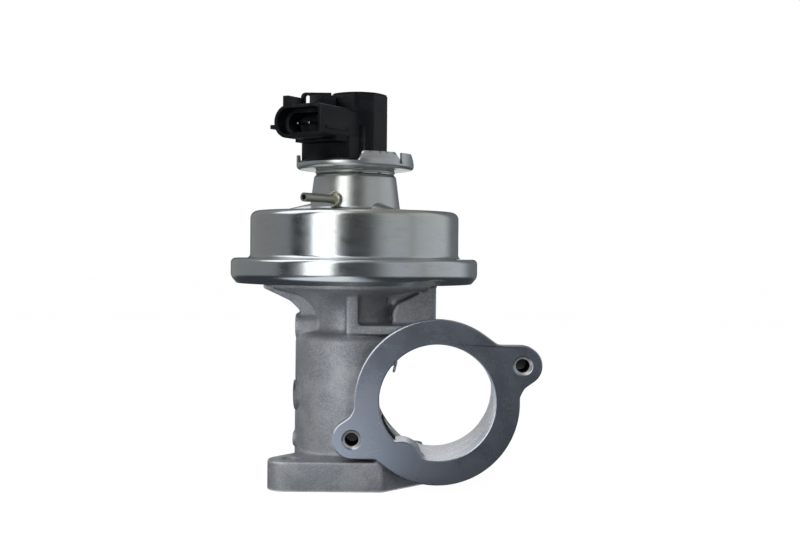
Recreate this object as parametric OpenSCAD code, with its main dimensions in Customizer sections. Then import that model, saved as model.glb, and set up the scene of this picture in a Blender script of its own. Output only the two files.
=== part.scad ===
// Vacuum-operated exhaust gas recirculation valve, in millimetres.
// Z runs up the valve stem, the base flange stands on Z = 0, and the air ring faces -Y.

/* [Base flange] */
// Thickness of the base flange
base_t = 13; // [11:0.5:15]
// Distance between the two base bolts
base_pcd = 82; // [80:0.5:85]
// Angle of the line through the base bolts, from +X
base_bolt_angle = 50; // [47:1:53]
// Radius of the ears round the base bolts
base_ear_r = 8.5; // [8:0.5:9.5]
// Radius of the base bolt holes
base_hole_r = 4.3; // [4:0.1:4.6]
// Distance of the flat front of the flange from the stem
base_front = 40; // [39.5:0.5:42]

/* [Barrel and neck] */
// Radius of the barrel that holds the valve chamber
barrel_r = 27; // [26:0.5:28]
// Height of the barrel's shoulder
barrel_h = 66.5; // [65:0.5:68]
// Radius of the neck over the barrel
neck_r = 18.5; // [17.5:0.5:19.5]
// Height of the plate that carries the vacuum can
plate_z = 89; // [87:0.5:92]
// Radius of that plate
plate_r = 38.5; // [37:0.5:40]
// Radius of the fillet under the plate
flare_r = 13; // [11:0.5:14]

/* [Gas passage] */
// Radius of the inlet recess in the base
inlet_r = 14; // [13.5:0.5:15]
// Depth of the inlet recess
inlet_depth = 4; // [3:0.5:4.5]
// Outer radius of the seat ring
seat_r = 13; // [12.5:0.25:13.25]
// Radius of the seat's throat
throat_r = 9.5; // [9:0.25:10]
// Height of the seat ring
seat_h = 5.5; // [5:0.25:6]
// Radius of the chamber round the valve head
chamber_r = 15.5; // [15:0.25:16]
// Radius of the duct from the chamber to the air ring
duct_r = 13.5; // [12:0.5:14]
// Angle of that duct, from +X
duct_angle = -45; // [-48:1:-42]

/* [Air ring] */
// Distance of the ring's axis from the stem
ring_x = 37.5; // [36.5:0.25:38.5]
// Height of the ring's axis
ring_z = 39.5; // [38.5:0.25:40.5]
// Distance of the ring's front face from the stem
ring_front = 44; // [43:0.5:46]
// Length of the ring from its front face to the tube's end
ring_len = 58; // [55:0.5:60]
// Radius of the bore at the front
bore_r = 25; // [24:0.25:25.5]
// How much wider the bore is at the back
bore_taper = 2.7; // [1.5:0.1:3]
// Radius of the front flange
ring_flange_r = 35.5; // [34.5:0.25:36]
// Thickness of the front flange
ring_flange_t = 10; // [8:0.5:12]
// Radius of the tube at its back end
tube_end_r = 31.5; // [31:0.25:32.5]
// Distance of each lug's hole from the ring's axis
lug_pitch_r = 40; // [39.5:0.25:41]
// Angle of the right-hand lug
lug_angle = 23.8; // [22:0.2:26]
// Radius of the rounded lug ends
lug_r = 8.4; // [8:0.2:9.2]
// Radius of the tapped holes in the lugs
lug_hole_r = 3; // [2.5:0.1:3.2]
// Depth of the tapped holes in the lugs
lug_hole_depth = 15; // [12:0.5:17]

/* [Vacuum can] */
// Thickness of the pressed steel sheet
sheet_t = 1.2; // [1:0.1:1.4]
// Outer radius of the can's wall
can_r = 48.2; // [47:0.2:49]
// Outer radius of the crimped rim
rim_r = 57; // [55.5:0.25:58]
// Height of the can's top over the rim
can_h = 21.5; // [20:0.25:24]
// Depth of the lower shell
shell_depth = 7.8; // [7:0.2:9]
// Thickness of the gasket under the lower shell
gasket_t = 0.8; // [0.6:0.1:1.2]
// Thickness of the diaphragm's clamped bead
bead_t = 2; // [1.6:0.1:2.4]
// Radius of the spring tower where it meets the can
tower_r = 21; // [20:0.1:21.5]
// Radius of the spring tower at its top
tower_top_r = 18.9; // [18:0.1:19.4]
// Height of the spring tower over the can's top
tower_h = 17.2; // [16:0.1:19]
// Number of stamped ribs on the can's top
dart_count = 3; // [2:1:4]
// Number of screws that hold the lower shell
screw_count = 3; // [3:1:4]

/* [Valve rod] */
// Radius of the stem
stem_r = 4; // [3.6:0.1:4.2]
// Radius of the valve head
head_r = 11.5; // [11:0.25:12]
// Radius of the diaphragm plates
piston_r = 33; // [31:0.5:34]
// Travel of the valve from closed to open
stroke = 6.5; // [5:0.25:7]
// Radius of the return spring's wire
spring_wire_r = 1.1; // [0.9:0.1:1.2]
// Mean radius of the return spring
spring_r = 13.8; // [13.2:0.1:14.2]
// Number of turns of the return spring
spring_turns = 6; // [5:1:7]

/* [Vacuum nipple] */
// Outer radius of the hose end
nipple_r = 2; // [1.8:0.1:2.2]
// Radius of the nipple's bore
nipple_bore_r = 1.2; // [1:0.1:1.4]
// Length of the nipple outside the tower
nipple_len = 22; // [18:0.5:26]
// Angle of the nipple from straight ahead
nipple_turn = 37; // [33:1:41]

/* [Position sensor] */
// Radius of the pressed cup that holds the sensor
cup_r = 27.2; // [26.6:0.2:28]
// Height of the cup's low lip
cup_lip = 2.8; // [2.4:0.2:3.6]
// Angle of the connector from straight ahead
plug_turn = 32; // [30:1:34]
// Width across the flats of the sensor's column
column_w = 24.2; // [23.4:0.2:25]
// Height of the sensor over its base
column_h = 34.4; // [33:0.2:36]
// Width of the connector's shroud
plug_w = 25.6; // [25:0.2:26.2]
// Height of the connector's shroud
plug_h = 14.8; // [14:0.2:15.6]
// Distance of the connector's mouth from the stem
plug_reach = 38; // [36.6:0.2:39]
// Depth of the connector's cavity
plug_depth = 15; // [13:0.5:16]
// Thickness of the shroud's wall
plug_wall = 1.5; // [1.2:0.1:1.8]
// Number of terminals
pin_count = 3; // [2:1:3]
// Distance between terminals
pin_pitch = 6.3; // [5.5:0.1:6.4]

/* [Hidden] */
$fn = 96;
// Clearance of pressed and seated pieces, each side
fit_gap = 0.02;
// Running clearance of the stem and the plunger, each side
run_gap = 0.05;
// Play between pieces that only lie near each other
play = 0.3;
cut = 1;

// Heights of the can's layers
can_z = plate_z + gasket_t;
joint_z = can_z + shell_depth;
rim_z = joint_z + bead_t + sheet_t;
can_top_z = rim_z + can_h;
tower_z = can_top_z + tower_h;
tower_slope = 0.9;
dart_r = 4.6;
dart_end_r = 0.5;
dart_drop = 1.1;
shell_wall_r = can_r - 1.5;

// Base bolts
base_bolt = base_pcd / 2 * [cos(base_bolt_angle), sin(base_bolt_angle)];
base_left = base_bolt.x + base_ear_r + 1.5;
rear_ear_z = base_t - 2.5;
spot_face_h = 6;

// Boss on the left of the neck
boss_z = 69.9;
boss_r = 5.7;
boss_y = -5;
boss_end = -26.6;
boss_hole_r = 2.5;
boss_hole_depth = 10;
web_reach = 41.5;

// Pocket under the plate
sill_z = 67.3;
sill_t = 3.9;
sill_front = -27;
rib_x = -2.4;
rib_w = 5.1;
column_x0 = 17.9;
column_x1 = 37.6;
column_front = -17;
column_back = 17;

// Bulge in the wall of the ring's bore
bulge_x = -15.4;
bulge_z = -26;
bulge_r = 9.3;
bulge_depth = 17;
lip_at = [-22, -27, 13.8];
lip_size = [3.6, 9, 6];
bore_front_len = 12;

// Duct from the chamber to the bore
duct_z = ring_z - 1.3;
duct_reach = 36;

// Plug in the left of the barrel
plug_angle = 192;
plug_seat_z = 38;
core_plug_r = 6.8;
core_plug_t = 5;
core_plug_x = barrel_r + 0.5;

// Ejector pad on the left of the barrel: y and z
pad_at = [-6, 17.8];
pad_r = 3.2;

// Valve seat, head, stem and guide
seat_cone = 1.2;
seat_top = inlet_depth + seat_h;
head_z = 22;
chamber_top = 57;
upper_chamber_r = 10;
guide_r = 7;
guide_z0 = 50;
seal_z = plate_z - 5;
seal_r = 9;
seal_t = 2.6;
thread_r = stem_r - 1;
stem_collar_z = can_z + sheet_t + 3.6;
plate_stack_t = 3.8;
stem_top = stem_collar_z + plate_stack_t + 6.6;

// Screws of the lower shell
screw_r = 2.5;
screw_pcr = 24;
screw_end_z = plate_z - 5.5;
screw_angles = [for (i = [0:screw_count - 1]) 360 * i / screw_count];
shell_hole_r = seal_r + 1;

// Return spring
spring_z0 = stem_collar_z + plate_stack_t;
spring_z1 = tower_z - sheet_t - 1.4;

// Nipple's root, on the tower's wall
nipple_root = [-7.7, -18.5, can_top_z + 5.2];

// Sensor cup and housing
tower_hole_r = 9;
cup_z = tower_z + 2.2;
cup_neck_r = 18.1;
sensor_z = cup_z + sheet_t;
column_z = sensor_z + column_h;
base_flange_r = cup_r - sheet_t - 0.5;
base_flange_t = 2.7;
tab_z = sensor_z + base_flange_t;
column_at = [1.4, 0];
column_corner = 6.4;
plug_side = -5.2;
plug_z = sensor_z + 18.4;
plug_step = 1.7;
plug_step_depth = 6.3;
cavity_half = 7.2;
seal_mean_r = 14;
lid_t = 1.5;
eyelet_y = -15.5;
eyelet_t = 3;
eyelet_x = -24.2;
pin_w = 1.1;
pin_tip = 8;
guide_hole_r = 5;
plunger_r = 2.4;
plunger_spring_r = 3.4;
carrier_z = tab_z + 2.5;
carrier_t = 4;
carrier_r = 4.2;
track_t = 1;
track_w = 12.5;
track_h = 22;
track_face = -cavity_half + fit_gap + track_t;
lid_plug_z = column_z - lid_t - 2;
spring_roof_z = column_z - lid_t - 0.3;

// Outer side of the upper shell: [radius, height, bend radius], from the crimp to the tower's hole
shell_path = [
  [rim_r - 2.4, can_z - 0.4, 0],
  [rim_r, can_z + 2.8, 1.5],
  [rim_r, rim_z, 1.8],
  [can_r, rim_z, 1.9],
  [can_r, can_top_z, 3.4],
  [tower_r, can_top_z + tower_slope, 1.6],
  [tower_top_r, tower_z, 2],
  [0, tower_z, 0]
];

cast = "#8d9096";
steel = "#b9bcbf";
stainless = "#a9aaa8";
black = "#1b1d20";
rubber = "#2a2a2a";
bronze = "#a98352";

// Unit vector of a plane vector
function unit(v) = v / norm(v);

// Left-hand normal of a plane vector
function left(v) = [-v.y, v.x];

// Arc of one bend at p between a and b, on the path moved off to the left by off
function bend(a, p, b, r, off, steps = 6) =
  let (
    u = unit(a - p),
    v = unit(b - p),
    side = sign(cross(p - a, b - p)),
    half = acos(max(-1, min(1, u * v))) / 2,
    c = p + unit(u + v) * r / sin(half),
    start = p + u * r / tan(half) - c,
    a0 = atan2(start.y, start.x),
    sweep = side * (180 - 2 * half)
  )
  [for (i = [0:steps]) c + (r - side * off) * [cos(a0 + sweep * i / steps), sin(a0 + sweep * i / steps)]];

// One side of a bent strip: path is a list of [x, y, bend radius]
function strip_side(path, off) =
  let (
    p = [for (q = path) [q.x, q.y]],
    n = len(p) - 1
  )
  concat(
    [p[0] + left(unit(p[1] - p[0])) * off],
    [for (i = [1:n - 1]) each bend(p[i - 1], p[i], p[i + 1], path[i][2], off)],
    [p[n] + left(unit(p[n] - p[n - 1])) * off]
  );

// Outline of a sheet of thickness t whose outer side follows path
function strip(path, t) =
  let (outer = strip_side(path, 0), inner = strip_side(path, t))
  concat(outer, [for (i = [len(inner) - 1:-1:0]) inner[i]]);

// Outer tangent of two circles, on the right of the way from a to b
function tangent(a, b) =
  let (
    d = [b.x - a.x, b.y - a.y],
    turn = atan2(d.y, d.x) - acos((a.z - b.z) / norm(d)),
    n = [cos(turn), sin(turn)]
  )
  [[a.x, a.y] + a.z * n, [b.x, b.y] + b.z * n];

// Taut loop round circles [x, y, r], listed anticlockwise
module loop_2d(circles) {
  n = len(circles);
  polygon([for (i = [0:n - 1]) each tangent(circles[i], circles[(i + 1) % n])]);
  for (c = circles) {
    if (c.z > 0.4) translate([c.x, c.y]) circle(c.z);
  }
}

// Surface of a round wire: rings of points along a path, closed at both ends
module wire(path, r, sides) {
  n = len(path);
  way = [for (i = [0:n - 1]) unit(path[min(i + 1, n - 1)] - path[max(i - 1, 0)])];
  points = [for (i = [0:n - 1])
    let (
      out = unit([path[i].x, path[i].y, 0]),
      up = cross(way[i], out)
    )
    for (k = [0:sides - 1]) path[i] + r * (cos(360 * k / sides) * out + sin(360 * k / sides) * up)];
  walls = [for (i = [0:n - 2]) for (k = [0:sides - 1])
    let (m = (k + 1) % sides, a = i * sides, b = a + sides)
    each [[a + k, b + k, b + m], [a + k, b + m, a + m]]];
  ends = [[for (k = [0:sides - 1]) k], [for (k = [sides - 1:-1:0]) (n - 1) * sides + k]];
  polyhedron(points, concat(walls, ends), convexity = 10);
}

// Points of a compression spring whose end turns lie flat
function coil_path(r, wire_r, z0, z1, turns, steps) =
  let (n = turns * steps, flat = steps * 0.9, low = z0 + wire_r, high = z1 - wire_r)
  [for (i = [0:n])
    let (
      rise = max(0, min(1, (i - flat) / (n - 2 * flat))),
      closing = 2.05 * wire_r,
      foot = min(1, i / flat) * closing,
      head = min(1, max(0, (i - n + flat) / flat)) * closing
    )
    [r * cos(360 * i / steps), r * sin(360 * i / steps),
      low + foot + head + rise * (high - low - 2 * closing)]];

// Round bar along -Y of the air ring's frame, from the ring's front face backwards
module ring_bar(r, depth, r_back = -1) {
  translate([0, -ring_front, 0]) rotate([-90, 0, 0]) cylinder(h = depth, r1 = r, r2 = r_back < 0 ? r : r_back);
}

module at_ring() {
  translate([ring_x, 0, ring_z]) children();
}

// Body casting

// Outline of the base flange, seen from above
module base_2d() {
  corner_x = 14;
  flank_r = 14.1;
  loop_2d([
    [-base_left + base_ear_r, -base_front + base_ear_r, base_ear_r],
    [corner_x, -base_front, 0.2],
    [corner_x + 13, -base_front + 33, flank_r],
    [5, 8, 10]
  ]);
  loop_2d([[0, 0, barrel_r], [base_bolt.x, base_bolt.y, base_ear_r]]);
  translate(-base_bolt) circle(base_ear_r - 1);
}

// Barrel, shoulder and neck as one revolved form, up to the top of the plate
module barrel_and_neck() {
  shoulder_r = 4;
  neck_z = barrel_h;
  under_plate = plate_z - 1.5;
  profile = concat(
    [[0, cut]],
    [[barrel_r + 0.2, cut]],
    bend([barrel_r, 0], [barrel_r, neck_z], [neck_r, neck_z], shoulder_r, 0),
    bend([barrel_r, neck_z], [neck_r, neck_z + 0.5], [neck_r, plate_z], 2.5, 0),
    bend([neck_r, neck_z], [neck_r, under_plate - 5], [plate_r, under_plate], flare_r, 0, 10),
    [[plate_r, under_plate], [plate_r, plate_z], [0, plate_z]]
  );
  rotate_extrude() polygon(profile);
}

// Boss on the left of the neck, with a tapped hole for a support bracket
module side_boss() {
  translate([boss_end, boss_y, boss_z]) rotate([0, 90, 0]) {
    cylinder(h = -boss_end, r = boss_r);
  }
}

// Web from the side boss up to the plate
module side_web() {
  web_t = 7;
  root_x = -neck_r + 4;
  top_z = plate_z - 0.2;
  knee = [-29, plate_z - 7.8];
  translate([0, boss_y + web_t / 2, 0]) rotate([90, 0, 0]) linear_extrude(web_t)
    polygon([[root_x, boss_z], [boss_end + 2.4, boss_z + 4], [boss_end + 2, boss_z + 7],
      knee, [-web_reach, plate_z - 2], [-web_reach, top_z], [root_x, top_z]]);
}

// Upright rib, sill and side column that frame the pocket under the plate
module pocket_frame() {
  top_z = plate_z - 0.3;
  column_z0 = ring_z + 10;
  translate([rib_x, sill_front, sill_z]) cube([rib_w, -sill_front, top_z - sill_z]);
  translate([rib_x, sill_front, sill_z]) cube([column_x1 - rib_x - 0.5, -sill_front, sill_t]);
  translate([column_x0, column_front, column_z0])
    cube([column_x1 - column_x0, column_back - column_front, top_z - column_z0]);
}

// Outline of the ring's front flange with its two lugs, round the ring's axis
module ring_face_2d() {
  circle(ring_flange_r);
  lug = lug_pitch_r * [cos(lug_angle), sin(lug_angle)];
  flat_z = lug.y + lug_r;
  under = lug + lug_r * [sin(31), -cos(31)];
  for (turn = [0, 180]) rotate(turn) {
    translate(lug) circle(lug_r);
    polygon([[lug.x, flat_z], [lug.x - 10, flat_z], [21.3, 28.4], [12, 12],
      [28, 0], [ring_flange_r - 0.1, 2.6], [ring_flange_r + 1.8, 6.4], under]);
  }
}

// Air ring: front flange with lugs, tube behind it and a thicker end at the back
module ring_outside() {
  tube_r = tube_end_r - 0.6;
  at_ring() {
    translate([0, -ring_front + ring_flange_t, 0]) rotate([90, 0, 0])
      linear_extrude(ring_flange_t) ring_face_2d();
    ring_bar(ring_flange_r - 1, ring_flange_t + 8, tube_r);
    ring_bar(tube_r, ring_len - 14);
    ring_bar(tube_end_r, ring_len);
    for (turn = [0, 180]) rotate([0, turn - lug_angle, 0])
      translate([lug_pitch_r, 0, 0]) ring_bar(lug_r - 0.4, lug_hole_depth + 4.5, lug_r - 2);
  }
}

// Sleeve of metal round the gas duct, between the barrel and the ring
module duct_sleeve() {
  translate([0, 0, duct_z]) rotate([0, 90, duct_angle]) cylinder(h = duct_reach - 4, r = duct_r + 4.5);
}

// Everything that the castings' cores and cutters take away
module body_cuts() {
  bore_z0 = inlet_depth + seat_h;
  translate([0, 0, -cut]) cylinder(h = inlet_depth + cut, r = inlet_r);
  translate([0, 0, inlet_depth - cut]) cylinder(h = seat_h + 2 * cut, r = seat_r);
  translate([0, 0, bore_z0]) cylinder(h = 22 - bore_z0, r = chamber_r);
  translate([0, 0, bore_z0]) cylinder(h = chamber_top - bore_z0, r = upper_chamber_r);
  translate([0, 0, duct_z]) rotate([0, 90, duct_angle]) cylinder(h = duct_reach, r = duct_r);
  translate([0, 0, chamber_top - cut]) cylinder(h = plate_z, r = guide_r);
  translate([0, 0, seal_z]) cylinder(h = plate_z, r = seal_r);
  for (side = [-1, 1]) translate([side * base_bolt.x, side * base_bolt.y, -cut])
    cylinder(h = base_t + 2 * cut, r = base_hole_r);
  translate([-base_bolt.x, -base_bolt.y, base_t]) cylinder(h = spot_face_h, r = base_ear_r - 0.5);
  translate([base_bolt.x, base_bolt.y, rear_ear_z]) cylinder(h = spot_face_h, r = base_ear_r + 1.5);
  for (a = screw_angles) rotate(a) translate([screw_pcr, 0, screw_end_z]) cylinder(h = 30, r = screw_r);
  translate([boss_end - cut, boss_y, boss_z]) rotate([0, 90, 0])
    cylinder(h = boss_hole_depth + cut, r = boss_hole_r);
  rotate(plug_angle) translate([0, 0, plug_seat_z]) rotate([0, 90, 0])
    translate([0, 0, core_plug_x - core_plug_t]) cylinder(h = 10, r = core_plug_r);
}

// Bore of the air ring, with the cast bulge and the lip that stay in it
module ring_bore() {
  difference() {
    at_ring() {
      translate([0, -ring_front - cut, 0]) rotate([-90, 0, 0]) cylinder(h = bore_front_len + cut, r = bore_r);
      translate([0, -ring_front + bore_front_len, 0]) rotate([-90, 0, 0])
        cylinder(h = ring_len - bore_front_len, r1 = bore_r, r2 = bore_r + bore_taper);
      translate([0, -ring_front + ring_len - cut / 10, 0]) rotate([-90, 0, 0])
        cylinder(h = 40, r = bore_r + bore_taper);
    }
    at_ring() translate([bulge_x, 0, bulge_z]) ring_bar(bulge_r, bulge_depth);
    at_ring() translate(lip_at) cube(lip_size);
  }
}

// Tapped holes in the two lugs, with their countersinks
module lug_holes() {
  sink_r = 4.4;
  at_ring() for (turn = [0, 180]) rotate([0, turn - lug_angle, 0]) translate([lug_pitch_r, 0, 0]) {
    ring_bar(lug_hole_r, lug_hole_depth);
    translate([0, -cut, 0]) ring_bar(sink_r + cut, sink_r - lug_hole_r + cut, lug_hole_r);
  }
}

module valve_body() {
  color(cast) difference() {
    union() {
      linear_extrude(base_t) base_2d();
      barrel_and_neck();
      side_boss();
      side_web();
      pocket_frame();
      ring_outside();
      duct_sleeve();
      translate([-barrel_r + 0.4, pad_at.x, pad_at.y]) rotate([0, -90, 0]) cylinder(h = 1, r = pad_r);
    }
    body_cuts();
    ring_bore();
    lug_holes();
  }
}

// Plug pressed into the left of the barrel, over the core's exit
module core_plug() {
  color(steel) rotate(plug_angle) translate([core_plug_x, 0, plug_seat_z]) rotate([0, -90, 0]) difference() {
    cylinder(h = core_plug_t, r = core_plug_r - fit_gap);
    translate([0, 0, -cut]) cylinder(h = 1.2 + cut, r = core_plug_r - 1.6);
  }
}

// Valve rod and its guide

module valve_seat() {
  color(stainless) translate([0, 0, inlet_depth]) difference() {
    cylinder(h = seat_h, r = seat_r - fit_gap);
    translate([0, 0, -cut]) cylinder(h = seat_h + 2 * cut, r = throat_r);
    translate([0, 0, seat_h - seat_cone]) cylinder(h = seat_cone + cut, r1 = throat_r, r2 = throat_r + seat_cone + cut);
  }
}

// Head that closes on the seat's cone from above
module valve_head() {
  head_gap = 0.12;
  cone_h = seat_cone + 0.6;
  color(stainless) rotate_extrude() polygon([
    [0, seat_top - cone_h], [throat_r - 0.6 - head_gap, seat_top - cone_h],
    [throat_r + seat_cone - head_gap, seat_top], [head_r, seat_top + head_gap],
    [head_r, seat_top + 1.8], [stem_r + 3.2, seat_top + 3], [stem_r + 0.8, seat_top + 6.5],
    [stem_r - 0.6, seat_top + 9.5], [stem_r - 0.6, head_z], [0, head_z]
  ]);
}

module valve_stem() {
  color(stainless) {
    translate([0, 0, head_z]) cylinder(h = 4, r = stem_r - 0.6);
    translate([0, 0, head_z + 4]) cylinder(h = stem_collar_z - head_z - 4, r = stem_r);
    translate([0, 0, stem_collar_z]) cylinder(h = stem_top - stem_collar_z, r = thread_r);
  }
}

module stem_guide() {
  color(bronze) translate([0, 0, guide_z0]) difference() {
    cylinder(h = seal_z - guide_z0, r = guide_r - fit_gap);
    translate([0, 0, -cut]) cylinder(h = seal_z, r = stem_r + run_gap);
    translate([0, 0, -cut]) cylinder(h = 2.5 + cut, r1 = stem_r + 2.4, r2 = stem_r);
  }
}

module stem_seal() {
  color(rubber) translate([0, 0, seal_z]) difference() {
    cylinder(h = seal_t, r = seal_r - fit_gap);
    translate([0, 0, -cut]) cylinder(h = seal_t + 2 * cut, r = stem_r + run_gap);
  }
}

module seal_cap() {
  color(steel) translate([0, 0, seal_z + seal_t]) difference() {
    cylinder(h = 5 - seal_t, r = seal_r - fit_gap);
    translate([0, 0, -cut]) cylinder(h = 6, r = stem_r + 0.6);
    translate([0, 0, -cut]) cylinder(h = 1.2 + cut, r = seal_r - 1.2);
  }
}

// Vacuum can

module shell_gasket() {
  color(rubber) translate([0, 0, plate_z]) difference() {
    cylinder(h = gasket_t, r = plate_r - 1);
    translate([0, 0, -cut]) cylinder(h = gasket_t + 2 * cut, r = shell_hole_r);
    for (a = screw_angles) rotate(a) translate([screw_pcr, 0, -cut])
      cylinder(h = gasket_t + 2 * cut, r = screw_r + play);
  }
}

// Dished lower shell, clamped in the rim
module lower_shell() {
  crimp_r = rim_r - sheet_t - 0.9;
  color(steel) difference() {
    rotate_extrude() polygon(strip([[shell_hole_r, can_z, 0], [shell_wall_r, can_z, 2.2],
      [shell_wall_r, joint_z - sheet_t, 2], [crimp_r, joint_z - sheet_t, 0]], sheet_t));
    for (a = screw_angles) rotate(a) translate([screw_pcr, 0, can_z - cut])
      cylinder(h = sheet_t + 2 * cut, r = screw_r + play);
    rotate(90) translate([screw_pcr + 9, 0, can_z - cut]) cylinder(h = 4, r = 2);
  }
}

// Pan-head screws through the lower shell into the casting
module shell_screws() {
  head_h = 2.6;
  head_wide = 4.6;
  color(steel) for (a = screw_angles) rotate(a) translate([screw_pcr, 0, 0]) difference() {
    union() {
      translate([0, 0, screw_end_z + play]) cylinder(h = can_z + sheet_t - screw_end_z - play, r = screw_r - fit_gap);
      translate([0, 0, can_z + sheet_t]) cylinder(h = head_h, r1 = head_wide, r2 = head_wide - 0.9);
    }
    translate([0, 0, can_z + sheet_t + 1]) cylinder(h = 4, r = 2, $fn = 6);
  }
}

// Rolling diaphragm: flat middle, one upward roll and the clamped bead
module diaphragm() {
  mid_z = stem_collar_z + sheet_t;
  mid_t = plate_stack_t - 2 * sheet_t;
  crimp_r = rim_r - sheet_t - 1.2;
  roll_in = piston_r + 4.4;
  roll_out = shell_wall_r - 0.7;
  color(rubber) rotate_extrude() union() {
    polygon(strip([[thread_r + fit_gap, mid_z, 0], [roll_in, mid_z, 1.2], [roll_in + 0.6, mid_z + 7, 1.6],
      [roll_out - 0.6, mid_z + 7, 1.6], [roll_out, joint_z, 0.8], [crimp_r, joint_z, 0]], mid_t));
    translate([shell_wall_r + 1.5, joint_z]) square([crimp_r - shell_wall_r - 1.5, bead_t]);
  }
}

// Support plate under the diaphragm
module diaphragm_plate() {
  color(steel) translate([0, 0, stem_collar_z]) difference() {
    cylinder(h = sheet_t, r = piston_r);
    translate([0, 0, -cut]) cylinder(h = sheet_t + 2 * cut, r = thread_r + fit_gap);
  }
}

// Dished plate over the diaphragm, which seats the return spring
module spring_cup() {
  cup_floor = stem_collar_z + plate_stack_t - sheet_t;
  color(steel) rotate_extrude() polygon(strip([[thread_r + fit_gap, cup_floor, 0], [spring_r + 4, cup_floor, 1.6],
    [spring_r + 5, cup_floor + 2.6, 1.8], [piston_r - 1.5, cup_floor + 2.6, 1.8], [piston_r, cup_floor + 6, 0]],
    sheet_t));
}

module stem_nut() {
  color(steel) translate([0, 0, stem_collar_z + plate_stack_t]) difference() {
    cylinder(h = 5.4, r = 6.4, $fn = 6);
    translate([0, 0, -cut]) cylinder(h = 8, r = thread_r + fit_gap);
  }
}

module return_spring() {
  color(steel) wire(coil_path(spring_r, spring_wire_r, spring_z0, spring_z1, spring_turns, 24), spring_wire_r, 8);
}

// Ring that centres the top of the return spring
module spring_seat() {
  color(steel) difference() {
    union() {
      translate([0, 0, spring_z1]) cylinder(h = 1.4, r = spring_r + spring_wire_r + 0.8);
      translate([0, 0, spring_z1 - 2]) cylinder(h = 2 + cut, r = spring_r - spring_wire_r - 0.4);
    }
    translate([0, 0, spring_z1 - 3]) cylinder(h = 6, r = tower_hole_r + 1);
  }
}

// Upper shell: crimped rim, wall, sloping top and spring tower in one pressing

// Filled form of the upper shell: its outside, or its inside with depth = sheet_t
module shell_form(depth) {
  side = strip_side(shell_path, depth);
  rotate_extrude() polygon(concat([[0, side[0].y - depth * 4], [side[0].x, side[0].y - depth * 4]], side));
}

// Ribs stamped into the can's top: cones that fall from the tower's foot to the can's edge
module darts(inset) {
  first = -56;
  reach = can_r - tower_r + 3;
  for (i = [0:dart_count - 1]) rotate(first + i * 360 / dart_count)
    translate([tower_r - 5, 0, can_top_z - dart_drop]) rotate([0, 90, 0])
    cylinder(h = reach * (1 - inset / dart_r), r1 = dart_r - inset, r2 = dart_end_r);
}

// Turns the local -Y axis to the nipple's direction, with the origin at its root
module at_nipple() {
  translate(nipple_root) rotate([0, 0, -nipple_turn]) children();
}

// Outside of the spring tower, with its wall moved out by grow
module tower_solid(grow = 0) {
  translate([0, 0, can_top_z + tower_slope])
    cylinder(h = tower_h - tower_slope, r1 = tower_r + grow, r2 = tower_top_r + grow);
}

module upper_shell() {
  color(steel) difference() {
    union() {
      shell_form(0);
      darts(0);
    }
    shell_form(sheet_t);
    darts(sheet_t);
    translate([0, 0, can_top_z]) cylinder(h = tower_h + cut, r = tower_hole_r);
    at_nipple() translate([0, 5, 0]) rotate([90, 0, 0]) cylinder(h = 10, r = nipple_r + 0.2 + fit_gap);
  }
}

// Hose nipple with its brazed collar, let into the tower's wall
module vacuum_nipple() {
  collar_r = 3;
  collar_len = 2.2;
  root_r = nipple_r + 0.2;
  straight = 14;
  color(stainless) difference() {
    union() {
      difference() {
        at_nipple() rotate([90, 0, 0]) translate([0, 0, -2]) cylinder(h = 2 + collar_len, r = collar_r);
        tower_solid(fit_gap);
      }
      at_nipple() rotate([90, 0, 0]) {
        translate([0, 0, -2.6]) cylinder(h = 3.8, r = root_r);
        translate([0, 0, 1.2]) cylinder(h = nipple_len - 1.2 - straight, r1 = root_r, r2 = nipple_r);
        translate([0, 0, nipple_len - straight]) cylinder(h = straight, r = nipple_r);
      }
    }
    at_nipple() translate([0, 4, 0]) rotate([90, 0, 0]) cylinder(h = nipple_len + 6, r = nipple_bore_r);
  }
}

// Position sensor

// Window for one crimped tab: a trapezoid seen from outside, at angle a on the cup's lip
module tab_window(a, w_low, w_high, top, skew = 0) {
  rotate(a) rotate([90, 0, 90]) linear_extrude(cup_r + 5)
    polygon([[-w_low / 2, cup_z + 1], [w_low / 2, cup_z + 1], [skew + w_high / 2, top], [skew - w_high / 2, top]]);
}

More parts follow.
